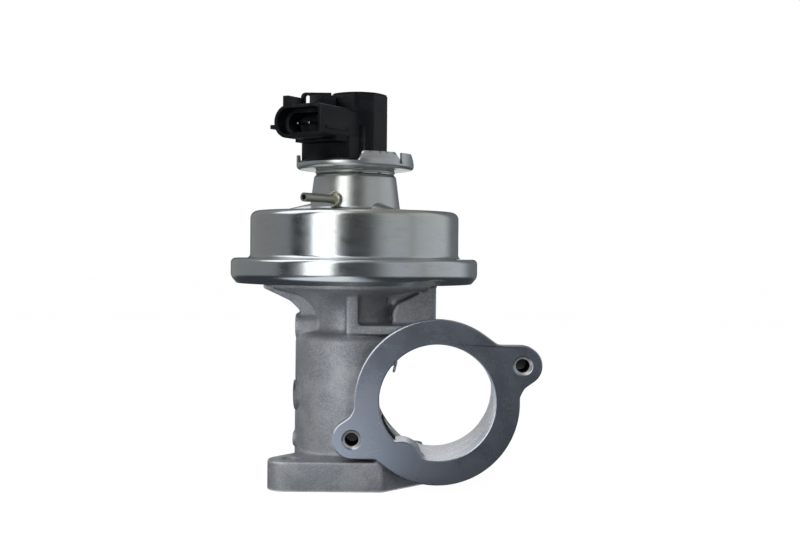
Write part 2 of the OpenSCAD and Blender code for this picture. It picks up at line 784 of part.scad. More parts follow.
// Pressed cup with a low lip and crimped tabs that hold the sensor's base
module sensor_cup() {
  lean = 1.7;
  lean_z = tab_z + 3.3;
  lean_tabs = [-62, 118];
  lean_tab_w = [24, 15];
  ear_z = tab_z + 3.1;
  side_tab_z = tab_z + 2.4;
  slot_w = 1.3;
  slot_z = tab_z - 1.2;
  color(steel) difference() {
    union() {
      rotate_extrude() polygon(strip([[tower_hole_r, cup_z, 0], [cup_r, cup_z, 1.8], [cup_r, cup_z + cup_lip, 0]],
        sheet_t));
      translate([0, 0, tower_z]) difference() {
        cylinder(h = cup_z - tower_z + 0.4, r = cup_neck_r);
        translate([0, 0, -cut]) cylinder(h = 5, r = tower_hole_r);
      }
      translate([0, 0, (tower_z + cup_z) / 2]) rotate_extrude() translate([cup_neck_r - 0.3, 0]) circle(0.7, $fn = 24);
      intersection() {
        rotate_extrude() polygon(strip([[cup_r - 4, cup_z, 0], [cup_r, cup_z, 1.8], [cup_r, tab_z - 0.2, 1.6],
          [cup_r - lean, lean_z, 0]], sheet_t));
        for (a = lean_tabs) tab_window(a, lean_tab_w[0], lean_tab_w[1], lean_z + 1);
      }
      intersection() {
        rotate_extrude() polygon(strip([[cup_r - 4, cup_z, 0], [cup_r, cup_z, 1.8], [cup_r, ear_z, 0]], sheet_t));
        union() {
          tab_window(-18.5, 19, 8.5, ear_z, -4.4);
          tab_window(188, 11, 8, side_tab_z);
        }
      }
    }
    rotate(-38.6) {
      translate([cup_r - 6, -slot_w / 2, slot_z]) cube([12, slot_w, 10]);
      translate([cup_r - 6, 0, slot_z]) rotate([0, 90, 0]) cylinder(h = 12, r = slot_w / 2);
    }
  }
}

module sensor_seal() {
  color(rubber) translate([0, 0, sensor_z + 0.95]) rotate_extrude() translate([seal_mean_r, 0]) circle(0.9, $fn = 32);
}

// Turns the local -Y axis to the connector's direction
module at_plug() {
  rotate([0, 0, -plug_turn]) children();
}

// Section of the shroud: half-round on the left, small corners on the right
module plug_2d(inset) {
  r = plug_h / 2 - inset;
  corner = 2.6 - inset / 2;
  x0 = -plug_w / 2 + plug_h / 2;
  x1 = plug_w / 2 - inset - corner;
  translate([x0, 0]) circle(r);
  translate([x0, -r]) square([x1 - x0, 2 * r]);
  translate([x0, -r + corner]) square([x1 - x0 + corner, 2 * r - 2 * corner]);
  for (side = [-1, 1]) translate([x1, side * (r - corner)]) circle(corner);
}

// Bar of the shroud's section from one distance ahead of the stem to another
module plug_bar(inset, s0, s1) {
  at_plug() translate([plug_side, -s0, plug_z]) rotate([90, 0, 0]) linear_extrude(s1 - s0) plug_2d(inset);
}

// Square column with cut corners, its flats square to the connector
module column(w, z0, z1) {
  half = w / 2;
  flat = half - column_corner;
  translate([column_at.x, column_at.y, z0]) rotate(-plug_turn) linear_extrude(z1 - z0)
    polygon([[half, -flat], [half, flat], [flat, half], [-flat, half],
      [-half, flat], [-half, -flat], [-flat, -half], [flat, -half]]);
}

// Square hollow of the column, round the stem's axis
module cavity(half, z0, z1) {
  translate([0, 0, z0]) rotate(-plug_turn) translate([-half, -half, 0]) cube([2 * half, 2 * half, z1 - z0]);
}

// Upright wall over the shroud, with a slot for a cable tie, and its tie to the column
module eyelet() {
  top = column_z - 1.7;
  low = plug_z + plug_h / 2 - 2;
  corner = 2.2;
  right = -10.6;
  slot_r = 0.85;
  slot_len = 3.2;
  slot_at = [3.05, -5.1];
  translate([0, eyelet_y + eyelet_t, 0]) rotate([90, 0, 0]) linear_extrude(eyelet_t) difference() {
    union() {
      translate([eyelet_x + corner, low]) square([right - eyelet_x - corner, top - low]);
      translate([eyelet_x, low]) square([corner * 2, top - low - corner]);
      translate([eyelet_x + corner, top - corner]) circle(corner);
    }
    translate([eyelet_x + slot_at.x, top + slot_at.y]) {
      translate([-slot_r, 0]) square([2 * slot_r, slot_len]);
      for (z = [0, slot_len]) translate([0, z]) circle(slot_r);
    }
  }
  translate([right - 3, eyelet_y + 0.2, low]) cube([5, 11, top - low - 1.2]);
}

// Box under the shroud, trimmed to the base's round edge
module base_box() {
  left = -18.3;
  right = 8.2;
  front = 17;
  ledge = [-15.2, -26, -0.7];
  ledge_size = [22.6, 16, 3];
  low_z = plug_z - plug_h / 2;
  intersection() {
    at_plug() translate([left, -front, sensor_z + 1]) cube([right - left, front, low_z - sensor_z + 1]);
    translate([0, 0, sensor_z]) cylinder(h = column_h, r = base_flange_r - 0.4);
  }
  at_plug() translate([ledge.x, ledge.y, low_z + ledge.z]) cube(ledge_size);
}

// Latch rib, nub and side rib on the shroud
module plug_ribs() {
  latch = [2.9, 12, 5];
  nub = [3.2, 7, 1.8];
  side_rib = [1.3, 16, 1.4];
  at_plug() translate([plug_side, -plug_reach, plug_z]) {
    translate([-8, 0, plug_h / 2 - 1]) cube(latch);
    translate([-plug_w / 2 - nub.x + 1, 0, -3]) cube(nub);
    translate([plug_w / 2 - 0.5, 4, -3.4]) cube(side_rib);
  }
}

module sensor_housing() {
  mouth = plug_reach;
  seal_groove_t = 1.9;
  pocket = [2.85, 3.6, 15];
  pocket_at = [2, -14.6, tab_z + 0.6];
  color(black) difference() {
    union() {
      translate([0, 0, sensor_z]) cylinder(h = base_flange_t, r = base_flange_r);
      translate([0, 0, sensor_z - 7]) cylinder(h = 8, r = tower_hole_r - 0.2);
      column(column_w, sensor_z + 1, column_z - lid_t);
      plug_bar(0, 8, mouth);
      base_box();
      plug_ribs();
      eyelet();
    }
    cavity(cavity_half, tab_z + 1, column_z);
    translate([0, 0, sensor_z - 8]) cylinder(h = 20, r = guide_hole_r);
    translate([0, 0, sensor_z - cut]) difference() {
      cylinder(h = seal_groove_t + cut, r = seal_mean_r + 1.1);
      translate([0, 0, -cut]) cylinder(h = 5, r = seal_mean_r - 1.1);
    }
    plug_bar(plug_wall, mouth - plug_step_depth, mouth + cut);
    plug_bar(plug_wall + plug_step, mouth - plug_depth, mouth);
    terminal_bars(fit_gap);
    translate(pocket_at) cube(pocket);
  }
}

// Lid with a slightly domed top, set into the column
module sensor_lid() {
  color(black) difference() {
    union() {
      intersection() {
        column(column_w - 0.4, column_z - lid_t, column_z + cut);
        translate([column_at.x, column_at.y, column_z]) rotate_extrude()
          polygon([[0, -lid_t - cut], [20, -lid_t - cut], [20, -1.9], [10.5, -0.4], [6, 0], [0, 0]]);
      }
      cavity(cavity_half - 0.2, lid_plug_z, column_z - lid_t + 0.2);
    }
    translate([0, 0, lid_plug_z - cut]) cylinder(h = spring_roof_z - lid_plug_z + cut, r = plunger_spring_r + 1);
  }
}

// Square terminals from the resistor track to the connector, widened by grow on each side
module terminal_bars(grow = 0) {
  for (i = [0:pin_count - 1]) at_plug()
    translate([plug_side + 0.2 + (i - (pin_count - 1) / 2) * pin_pitch - pin_w / 2 - grow,
      -plug_reach + pin_tip, plug_z - pin_w / 2 - grow])
      cube([pin_w + 2 * grow, plug_reach - pin_tip - cavity_half - play, pin_w + 2 * grow]);
}

module terminals() {
  color(bronze) terminal_bars();
}

module plunger_guide() {
  color(bronze) translate([0, 0, sensor_z - 7]) difference() {
    cylinder(h = 8, r = guide_hole_r - fit_gap);
    translate([0, 0, -cut]) cylinder(h = 10, r = plunger_r + run_gap);
  }
}

// Plunger that rests on the stem and lifts the wiper carrier
module sensor_plunger() {
  color(stainless) {
    translate([0, 0, stem_top]) cylinder(h = carrier_z - stem_top, r = plunger_r);
    translate([0, 0, carrier_z]) cylinder(h = carrier_t, r = carrier_r);
    translate([0, 0, carrier_z + carrier_t]) cylinder(h = 6, r = 2);
  }
}

module plunger_spring() {
  wire_r = 0.4;
  color(steel) wire(coil_path(plunger_spring_r, wire_r, carrier_z + carrier_t, spring_roof_z, 8, 16), wire_r, 6);
}

// Ceramic strip with the resistor track, on the wall of the column nearest the connector
module resistor_track() {
  color("#d8d4c8") rotate(-plug_turn)
    translate([-track_w / 2, track_face - track_t, tab_z + 1.2]) cube([track_w, track_t, track_h]);
}

// Spring contact that slides on the resistor track
module wiper_contact() {
  wide = 3;
  leaf_t = 0.4;
  tip = track_face + run_gap;
  color(bronze) rotate(-plug_turn) translate([-wide / 2, tip, carrier_z + 1]) {
    cube([wide, leaf_t, 4.5]);
    cube([wide, -carrier_r - fit_gap - tip, 2]);
  }
}

valve_body();
core_plug();
valve_seat();
valve_head();
valve_stem();
stem_guide();
stem_seal();
seal_cap();
shell_gasket();
lower_shell();
shell_screws();
diaphragm();
diaphragm_plate();
spring_cup();
stem_nut();
return_spring();
spring_seat();
upper_shell();
vacuum_nipple();
sensor_cup();
sensor_seal();
sensor_housing();
sensor_lid();
terminals();
plunger_guide();
sensor_plunger();
plunger_spring();
resistor_track();
wiper_contact();
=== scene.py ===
"""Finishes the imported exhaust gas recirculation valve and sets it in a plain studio.

The sizes below are millimetres in the shared frame: Z runs up the valve stem, the base flange
stands on Z = 0, and the air ring faces -Y.
"""
import logging
import math
from contextlib import contextmanager
from dataclasses import dataclass, field
from enum import Enum
from typing import Callable, Iterator, Sequence

import bpy
from mathutils import Matrix, Vector


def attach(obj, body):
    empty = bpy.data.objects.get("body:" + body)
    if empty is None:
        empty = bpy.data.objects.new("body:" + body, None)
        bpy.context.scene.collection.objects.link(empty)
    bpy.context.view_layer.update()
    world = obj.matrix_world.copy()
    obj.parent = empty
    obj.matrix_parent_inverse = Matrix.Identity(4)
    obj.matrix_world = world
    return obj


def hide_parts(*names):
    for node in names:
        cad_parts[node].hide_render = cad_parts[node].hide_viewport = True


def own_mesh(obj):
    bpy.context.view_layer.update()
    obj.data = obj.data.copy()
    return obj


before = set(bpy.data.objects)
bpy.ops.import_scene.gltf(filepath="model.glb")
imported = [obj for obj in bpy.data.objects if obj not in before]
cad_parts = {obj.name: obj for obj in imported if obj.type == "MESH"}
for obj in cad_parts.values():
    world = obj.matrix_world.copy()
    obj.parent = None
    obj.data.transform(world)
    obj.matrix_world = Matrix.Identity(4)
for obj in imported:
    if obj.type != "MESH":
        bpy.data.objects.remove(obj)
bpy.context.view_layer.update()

MM = 0.001
LOG = logging.getLogger("valve")
Pair = tuple[float, float]
Triple = tuple[float, float, float]
Object = bpy.types.Object
Socket = bpy.types.NodeSocket


# ---- Work on objects -------------------------------------------------------------------------


class Axis(Enum):
    """Index of a coordinate."""

    X = 0
    Y = 1
    Z = 2


def mm(*values: float) -> Vector:
    """A point given in millimetres, in metres."""
    return Vector(values) * MM


def only(obj: Object) -> None:
    """Leaves obj as the one selected and active object."""
    bpy.ops.object.select_all(action="DESELECT")
    obj.select_set(True)
    bpy.context.view_layer.objects.active = obj


class Pick(Enum):
    """What is selected as edit mode opens."""

    NONE = "DESELECT"
    ALL = "SELECT"
    KEPT = ""


@contextmanager
def editing(obj: Object, pick: Pick = Pick.NONE) -> Iterator[None]:
    """Edit mode on obj alone.

    Args:
        obj: the mesh object to edit.
        pick: what is selected as it opens.
    """
    only(obj)
    bpy.ops.object.mode_set(mode="EDIT")
    if pick is not Pick.KEPT:
        bpy.ops.mesh.select_all(action=pick.value)
    yield
    bpy.ops.object.mode_set(mode="OBJECT")


def pick_faces(obj: Object, test: Callable[[bpy.types.MeshPolygon], bool]) -> int:
    """Selects the faces that pass a test, from object mode.

    Args:
        obj: the mesh object.
        test: says of one face whether it is wanted.

    Returns:
        How many faces are selected.
    """
    mesh = obj.data
    mesh.vertices.foreach_set("select", [False] * len(mesh.vertices))
    mesh.edges.foreach_set("select", [False] * len(mesh.edges))
    for face in mesh.polygons:
        face.select = bool(test(face))
    return sum(face.select for face in mesh.polygons)


def apply_modifiers(obj: Object) -> None:
    """Applies every modifier of obj, in order."""
    only(obj)
    for modifier in list(obj.modifiers):
        bpy.ops.object.modifier_apply(modifier=modifier.name)


def settle(obj: Object) -> None:
    """Puts the object's place, turn and size into its mesh."""
    only(obj)
    bpy.ops.object.transform_apply(location=True, rotation=True, scale=True)


def smooth(obj: Object, degrees: float) -> None:
    """Smooth shading, with edges sharper than the angle kept sharp."""
    only(obj)
    bpy.ops.object.shade_smooth_by_angle(angle=math.radians(degrees))


def even_normals(obj: Object, degrees: float) -> None:
    """Weighs normals by the faces' areas, so that reflections run clean.

    Args:
        obj: the mesh object.
        degrees: edges sharper than this stay sharp.
    """
    smooth(obj, degrees)
    weigh = obj.modifiers.new("normals", "WEIGHTED_NORMAL")
    weigh.keep_sharp = True
    weigh.weight = 50
    apply_modifiers(obj)


def weld(obj: Object, distance: float = 0.002) -> None:
    """Merges vertices closer than a distance in millimetres and turns the faces outwards."""
    with editing(obj, Pick.ALL):
        bpy.ops.mesh.remove_doubles(threshold=distance * MM)
        bpy.ops.mesh.normals_make_consistent(inside=False)


def add_object(name: str, data: bpy.types.ID) -> Object:
    """A new object at the origin, in the scene."""
    obj = bpy.data.objects.new(name, data)
    bpy.context.scene.collection.objects.link(obj)
    return obj


def node_copy(node: str, name: str) -> Object:
    """A welded copy of a CAD node's mesh, as a new object at the origin.

    Args:
        node: the CAD node.
        name: the new piece's name.

    Returns:
        The new object.
    """
    obj = add_object(name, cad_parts[node].data.copy())
    obj.data.name = name
    obj.data.materials.clear()
    weld(obj)
    return obj


def named(name: str) -> Object:
    """The active object, renamed."""
    obj = bpy.context.view_layer.objects.active
    obj.name = name
    obj.data.name = name
    return obj


class Form(Enum):
    """What an outline is left as."""

    FACE = "filled"
    LOOP = "closed wire"
    PATH = "wire, open from its last point to its first"


def outline(name: str, points: Sequence[Vector], form: Form = Form.FACE) -> Object:
    """Adds a polygon or a path through given points.

    Args:
        name: the object's name.
        points: its corners in metres.
        form: what it is left as.

    Returns:
        The new object.
    """
    bpy.ops.object.select_all(action="DESELECT")
    bpy.ops.mesh.primitive_circle_add(vertices=len(points), radius=1,
                                      fill_type="NGON" if form is Form.FACE else "NOTHING")
    obj = named(name)
    for vertex, point in zip(obj.data.vertices, points):
        vertex.co = point
    if form is Form.PATH:
        with editing(obj):
            bpy.ops.mesh.select_mode(type="EDGE")
        ends = {0, len(points) - 1}
        closing = [edge for edge in obj.data.edges if set(edge.vertices) == ends]
        closing[0].select = True
        with editing(obj, Pick.KEPT):
            bpy.ops.mesh.delete(type="EDGE")
    return obj


def cylinder(name: str, centre: Triple, radius: float, depth: float, axis: Axis = Axis.Z,
             top: float | None = None, sides: int = 64) -> Object:
    """Adds a round bar or cone, in millimetres.

    Args:
        name: the object's name.
        centre: the middle of its axis.
        radius: its radius, at the low end for a cone.
        depth: its length along the axis.
        axis: the coordinate that the axis runs along.
        top: the radius at the high end, if it differs.
        sides: how many sides stand for the circle.

    Returns:
        The new object, with its place in its mesh.
    """
    turn = {Axis.X: (0, math.pi / 2, 0), Axis.Y: (-math.pi / 2, 0, 0), Axis.Z: (0, 0, 0)}[axis]
    bpy.ops.object.select_all(action="DESELECT")
    bpy.ops.mesh.primitive_cone_add(
        vertices=sides, radius1=radius * MM, radius2=(radius if top is None else top) * MM,
        depth=depth * MM, location=mm(*centre), rotation=turn)
    obj = named(name)
    settle(obj)
    return obj


def join(target: Object, others: Sequence[Object]) -> Object:
    """Joins other objects into the target's mesh and returns the target."""
    only(target)
    for other in others:
        other.select_set(True)
    bpy.context.view_layer.objects.active = target
    bpy.ops.object.join()
    return target


def carve(obj: Object, cutter: Object) -> None:
    """Cuts the cutter's volume out of obj and deletes the cutter."""
    modifier = obj.modifiers.new("cut", "BOOLEAN")
    modifier.operation = "DIFFERENCE"
    modifier.solver = "EXACT"
    modifier.object = cutter
    apply_modifiers(obj)
    bpy.data.objects.remove(cutter, do_unlink=True)


def slice_off(obj: Object, point: Vector, outward: Vector) -> None:
    """Cuts away what lies beyond a plane and closes the cut.

    Args:
        obj: the mesh object.
        point: a point of the plane, in metres.
        outward: the side that goes.
    """
    with editing(obj, Pick.ALL):
        bpy.ops.mesh.bisect(plane_co=point, plane_no=outward, use_fill=True, clear_outer=True)


# ---- Node trees ------------------------------------------------------------------------------


class Graph:
    """Adds nodes and links to one shader node tree."""

    def __init__(self, tree: bpy.types.NodeTree) -> None:
        """Keeps the tree that nodes are added to."""
        self.tree = tree

    def feed(self, node: bpy.types.Node, inputs: dict) -> bpy.types.Node:
        """Fills or links a node's inputs.

        Args:
            node: a node of the tree.
            inputs: values or output sockets, by input name or index.

        Returns:
            The same node.
        """
        for key, value in inputs.items():
            if isinstance(value, Socket):
                self.tree.links.new(value, node.inputs[key])
            else:
                node.inputs[key].default_value = value
        return node

    def add(self, kind: str, inputs: dict | None = None, **settings: object) -> bpy.types.Node:
        """Adds a node, sets its options and feeds its inputs.

        Args:
            kind: the node's type, without the ShaderNode in front.
            inputs: values or output sockets, by input name or index.
            settings: attributes of the node.

        Returns:
            The new node.
        """
        node = self.tree.nodes.new("ShaderNode" + kind)
        for key, value in settings.items():
            setattr(node, key, value)
        return self.feed(node, inputs or {})

    def show(self, shader: Socket) -> None:
        """Sends a shader to the material's output."""
        self.feed(self.tree.nodes["Material Output"], {"Surface": shader})

    def split(self, vector: Socket) -> bpy.types.NodeOutputs:
        """X, Y and Z of a vector."""
        return self.add("SeparateXYZ", {"Vector": vector}).outputs

    def calc(self, operation: str, *values: object, clamp: bool = False) -> Socket:
        """The result of a Math node on one to three values or sockets."""
        return self.add("Math", dict(enumerate(values)), operation=operation, use_clamp=clamp).outputs[0]

    def times(self, first: object, second: object) -> Socket:
        """The product of two values."""
        return self.calc("MULTIPLY", first, second)

    def plus(self, first: object, second: object) -> Socket:
        """The sum of two values."""
        return self.calc("ADD", first, second)

    def most(self, first: object, second: object) -> Socket:
        """The larger of two values."""
        return self.calc("MAXIMUM", first, second)

    def squares(self, first: object, second: object) -> Socket:
        """The sum of two values' squares."""
        return self.plus(self.times(first, first), self.times(second, second))

    def seen(self) -> Socket:
        """1 for rays from the camera and for mirrored or transmitted ones, otherwise 0."""
        path = self.add("LightPath").outputs
        return self.most(path["Is Camera Ray"], self.most(path["Is Glossy Ray"], path["Is Transmission Ray"]))

    def noise(self, vector: Socket, scale: object, detail: float = 3.0, roughness: float = 0.55) -> Socket:
        """The value of a noise texture, 0 to 1."""
        return self.add("TexNoise", {"Vector": vector, "Scale": scale, "Detail": detail,
                                     "Roughness": roughness}, noise_dimensions="3D").outputs["Fac"]

    def stretch(self, vector: Socket, scale: Triple) -> Socket:
        """Coordinates scaled by a different amount along each axis."""
        return self.add("Mapping", {"Vector": vector, "Scale": scale}).outputs["Vector"]

    def fit(self, value: object, low: object, high: object, to_low: float = 0.0,
            to_high: float = 1.0) -> Socket:
        """A value mapped smoothly from one range to another, and clamped."""
        return self.add("MapRange", {"Value": value, "From Min": low, "From Max": high, "To Min": to_low,
                                     "To Max": to_high}, interpolation_type="SMOOTHSTEP", clamp=True).outputs[0]

    def blend(self, factor: object, first: object, second: object) -> Socket:
        """Two colours mixed by a factor."""
        return self.add("Mix", {0: factor, 6: first, 7: second}, data_type="RGBA").outputs[2]

    def choose(self, factor: object, first: object, second: object) -> Socket:
        """Two numbers mixed by a factor."""
        return self.add("Mix", {0: factor, 2: first, 3: second}, data_type="FLOAT").outputs[0]

    def bump(self, height: object, distance: float, strength: float) -> Socket:
        """A normal from a height, with the distance in millimetres."""
        return self.add("Bump", {"Height": height, "Distance": distance * MM, "Strength": strength}).outputs[0]


def colour(red: float, green: float, blue: float) -> tuple[float, float, float, float]:
    """A linear colour with full alpha."""
    return (red, green, blue, 1.0)


def new_material(name: str) -> tuple[bpy.types.Material, Graph]:
    """A new node material, with the graph of its tree."""
    material = bpy.data.materials.new(name)
    material.use_nodes = True
    return material, Graph(material.node_tree)


@dataclass(frozen=True)
class Effect:
    """A shader node group that materials share; an input without a default is a vector."""

    name: str
    inputs: dict[str, float | None]
    outputs: tuple[str, ...]
    fill: Callable[[Graph, bpy.types.NodeOutputs], dict[str, Socket]]

    def tree(self) -> bpy.types.NodeTree:
        """Builds the group.

        Returns:
            Its node tree, with named inputs and outputs.
        """
        tree = bpy.data.node_groups.new(self.name, "ShaderNodeTree")
        for key, default in self.inputs.items():
            kind = "NodeSocketVector" if default is None else "NodeSocketFloat"
            socket = tree.interface.new_socket(name=key, in_out="INPUT", socket_type=kind)
            if default is not None:
                socket.default_value = default
        for key in self.outputs:
            tree.interface.new_socket(name=key, in_out="OUTPUT", socket_type="NodeSocketFloat")
        graph = Graph(tree)
        start, end = tree.nodes.new("NodeGroupInput"), tree.nodes.new("NodeGroupOutput")
        graph.feed(end, self.fill(graph, start.outputs))
        return tree

    def place(self, graph: Graph, **values: object) -> bpy.types.NodeOutputs:
        """Places the group in a material, and builds it the first time.

        Args:
            graph: the material's graph.
            values: values or sockets, by input name.

        Returns:
            The placed group's outputs.
        """
        tree = bpy.data.node_groups.get(self.name) or self.tree()
        return graph.add("Group", values, node_tree=tree).outputs


def fill_grain(graph: Graph, start: bpy.types.NodeOutputs) -> dict[str, Socket]:
    """Height for a bump, and Mottle for colour and roughness."""
    where, wide = start["Vector"], start["Coarse"]
    fine = graph.noise(where, start["Fine"], 3.0, 0.6)
    coarse = graph.noise(where, wide, 4.0, 0.6)
    pits = graph.fit(graph.noise(where, wide, 1.0), 0.62, 0.74)
    height = graph.plus(graph.times(fine, 0.6), graph.times(coarse, 0.4))
    return {"Height": graph.calc("SUBTRACT", height, graph.times(pits, 0.35)), "Mottle": coarse}


def fill_wear_and_shade(graph: Graph, start: bpy.types.NodeOutputs) -> dict[str, Socket]:
    """Rubbed, worn Edge, and painted shade in the hollows, from how pointed the surface is."""
    point = graph.add("NewGeometry").outputs["Pointiness"]
    ragged = graph.calc("MULTIPLY_ADD", graph.noise(start["Vector"], 700.0), 0.02, point)
    # Edge is rubbed, worn edges; the hollow output is painted shade, darker where the surface dips in.
    return {"Edge": graph.fit(ragged, start["From"], start["To"]), "HollowShade": graph.fit(point, 0.5, 0.44)}


def fill_scratches(graph: Graph, start: bpy.types.NodeOutputs) -> dict[str, Socket]:
    """Sparse thin scratches: Mask is 1 on a scratch."""
    warped = graph.stretch(start["Vector"], (1.0, 1.0, 9.0))
    lines = graph.add("TexVoronoi", {"Vector": warped, "Scale": start["Scale"]}, feature="DISTANCE_TO_EDGE")
    patch = graph.fit(graph.noise(start["Vector"], 60.0), 0.52, 0.66)
    return {"Mask": graph.times(graph.fit(lines.outputs["Distance"], 0.012, 0.0), patch)}


GRAIN = Effect("surface_grain", {"Vector": None, "Fine": 3000.0, "Coarse": 900.0}, ("Height", "Mottle"),
               fill_grain)
# Rubbed, worn edges, and painted shade in the hollows.
WEAR_AND_SHADE = Effect("edge_wear_and_hollow_shade", {"Vector": None, "From": 0.53, "To": 0.58}, ("Edge", "HollowShade"), fill_wear_and_shade)
SCRATCHES = Effect("fine_scratches", {"Vector": None, "Scale": 60.0}, ("Mask",), fill_scratches)


# ---- Finishes --------------------------------------------------------------------------------


@dataclass(frozen=True)
class AirRing:
    """Where the casting's air ring and its lugs are, for its holes and for its finish."""

    centre: Pair = (37.5, 39.5)
    face_y: float = -44.0
    lug_reach: float = 40.0
    lug_angle: float = 23.8

    def lugs(self) -> list[Pair]:
        """X and Z of the two lug holes, from the ring's centre."""
        turn = math.radians(self.lug_angle)
        return [(side * (self.lug_reach * math.cos(turn)), side * (self.lug_reach * math.sin(turn)))
                for side in (1, -1)]


RING = AirRing()


@dataclass(frozen=True)
class Finish:
    """A surface finish; each kind fills in its own nodes."""

    name: str

    def material(self) -> bpy.types.Material:
        """The finish as a material.

        Returns:
            The material, made once and known by the finish's name.
        """
        known = bpy.data.materials.get(self.name)
        if known is not None:
            return known
        material, graph = new_material(self.name)
        where = graph.add("TexCoord").outputs["Object"]
        graph.feed(material.node_tree.nodes["Principled BSDF"], self.nodes(graph, where))
        return material

    def nodes(self, graph: Graph, where: Socket) -> dict[str, object]:
        """Values and sockets for the shader's inputs, by name."""
        raise NotImplementedError


@dataclass(frozen=True)
class CastAluminium(Finish):
    """Blasted die casting with machined face, bore and base."""

    face_skin: float = 0.42
    bore_r: float = 28.4
    ring_back: float = 14.4
    lug_r: float = 5.4
    lug_depth: float = 4.0
    cast: tuple = colour(0.265, 0.279, 0.303)
    light: tuple = colour(0.46, 0.47, 0.488)
    rubbed: tuple = colour(0.72, 0.73, 0.74)
    # painted shade: the colour that the hollows are darkened towards
    shaded: tuple = colour(0.16, 0.165, 0.17)
    cut: tuple = colour(0.36, 0.395, 0.46)
    stained: tuple = colour(0.40, 0.43, 0.485)
    scratched: tuple = colour(0.75, 0.77, 0.8)
    wall: tuple[tuple, tuple] = (colour(0.50, 0.53, 0.60), colour(0.60, 0.63, 0.70))
    drilled: tuple = colour(0.46, 0.445, 0.43)

    def zones(self, graph: Graph, where: Socket) -> dict[str, Socket]:
        """Masks of what is machined.

        Args:
            graph: the material's graph.
            where: object coordinates.

        Returns:
            Masks of the bore, the lug holes and all of it, and the radius from the bore's axis.
        """
        x, y, z = graph.split(where)
        across = graph.calc("SUBTRACT", x, RING.centre[0] * MM)
        up = graph.calc("SUBTRACT", z, RING.centre[1] * MM)
        radius = graph.calc("SQRT", graph.squares(across, up))
        face = graph.calc("LESS_THAN", y, (RING.face_y + self.face_skin) * MM)
        ahead = graph.calc("LESS_THAN", y, self.ring_back * MM)
        bore = graph.times(graph.calc("LESS_THAN", radius, self.bore_r * MM),
                           graph.times(ahead, graph.calc("SUBTRACT", 1.0, face)))
        holes = 0.0
        for out, high in RING.lugs():
            away = graph.squares(graph.calc("SUBTRACT", across, out * MM),
                                 graph.calc("SUBTRACT", up, high * MM))
            holes = graph.most(holes, graph.calc("LESS_THAN", away, (self.lug_r * MM) ** 2))
        front = graph.calc("LESS_THAN", y, (RING.face_y + self.lug_depth) * MM)
        holes = graph.times(holes, graph.calc("SUBTRACT", front, face))
        base = graph.calc("LESS_THAN", z, 0.05 * MM)
        machined = graph.most(graph.most(face, holes), graph.most(bore, base))
        return {"radius": radius, "bore": bore, "holes": holes, "machined": machined}

    def skin(self, graph: Graph, where: Socket, mottle: Socket) -> Socket:
        """The cast skin's colour, with rubbed edges and painted shade in the hollows."""
        wear_and_shade = WEAR_AND_SHADE.place(graph, Vector=where)
        patches = graph.fit(graph.noise(where, 85.0, 4.0, 0.6), 0.40, 0.66)
        pale = graph.calc("ADD", graph.fit(mottle, 0.38, 0.72, 0.0, 0.8), graph.times(patches, 0.45),
                          clamp=True)
        skin = graph.blend(pale, self.cast, self.light)
        skin = graph.blend(graph.times(wear_and_shade["Edge"], 0.6), skin, self.rubbed)
        # painted shade: darker in the hollows, towards the shaded colour
        return graph.blend(graph.times(wear_and_shade["HollowShade"], 0.5), skin, self.shaded)

    def bare(self, graph: Graph, where: Socket, stain: Socket, zones: dict[str, Socket]) -> Socket:
        """The machined zones' colour: scratched face, stained bore wall and duller holes."""
        marks = SCRATCHES.place(graph, Vector=where, Scale=90.0)["Mask"]
        plain = graph.blend(graph.fit(stain, 0.3, 0.75), self.cut, self.stained)
        plain = graph.blend(graph.times(marks, 0.6), plain, self.scratched)
        plain = graph.blend(zones["bore"], plain, graph.blend(graph.fit(stain, 0.4, 0.65), *self.wall))
        return graph.blend(zones["holes"], plain, self.drilled)

    def nodes(self, graph: Graph, where: Socket) -> dict[str, object]:
        """Cast skin everywhere but on the machined zones."""
        zones = self.zones(graph, where)
        machined, holes = zones["machined"], zones["holes"]
        grain = GRAIN.place(graph, Vector=where, Fine=3000.0, Coarse=1500.0)
        stain = graph.noise(where, 75.0, 3.0, 0.5)
        rings = graph.noise(graph.add("CombineXYZ", {0: zones["radius"]}).outputs[0], 2600.0, 2.0)
        height = graph.choose(machined, grain["Height"], graph.times(rings, 0.12))
        rough = graph.choose(machined, graph.fit(grain["Mottle"], 0.3, 0.7, 0.44, 0.56),
                             graph.choose(holes, graph.fit(stain, 0.3, 0.7, 0.24, 0.31), 0.34))
        metal = graph.choose(zones["bore"], graph.choose(holes, 0.95, 0.6), 0.15)
        return {"Base Color": graph.blend(machined, self.skin(graph, where, grain["Mottle"]),
                                          self.bare(graph, where, stain, zones)),
                "Metallic": graph.choose(machined, 0.75, metal), "Roughness": rough,
                "Normal": graph.bump(height, 0.09, 0.6)}


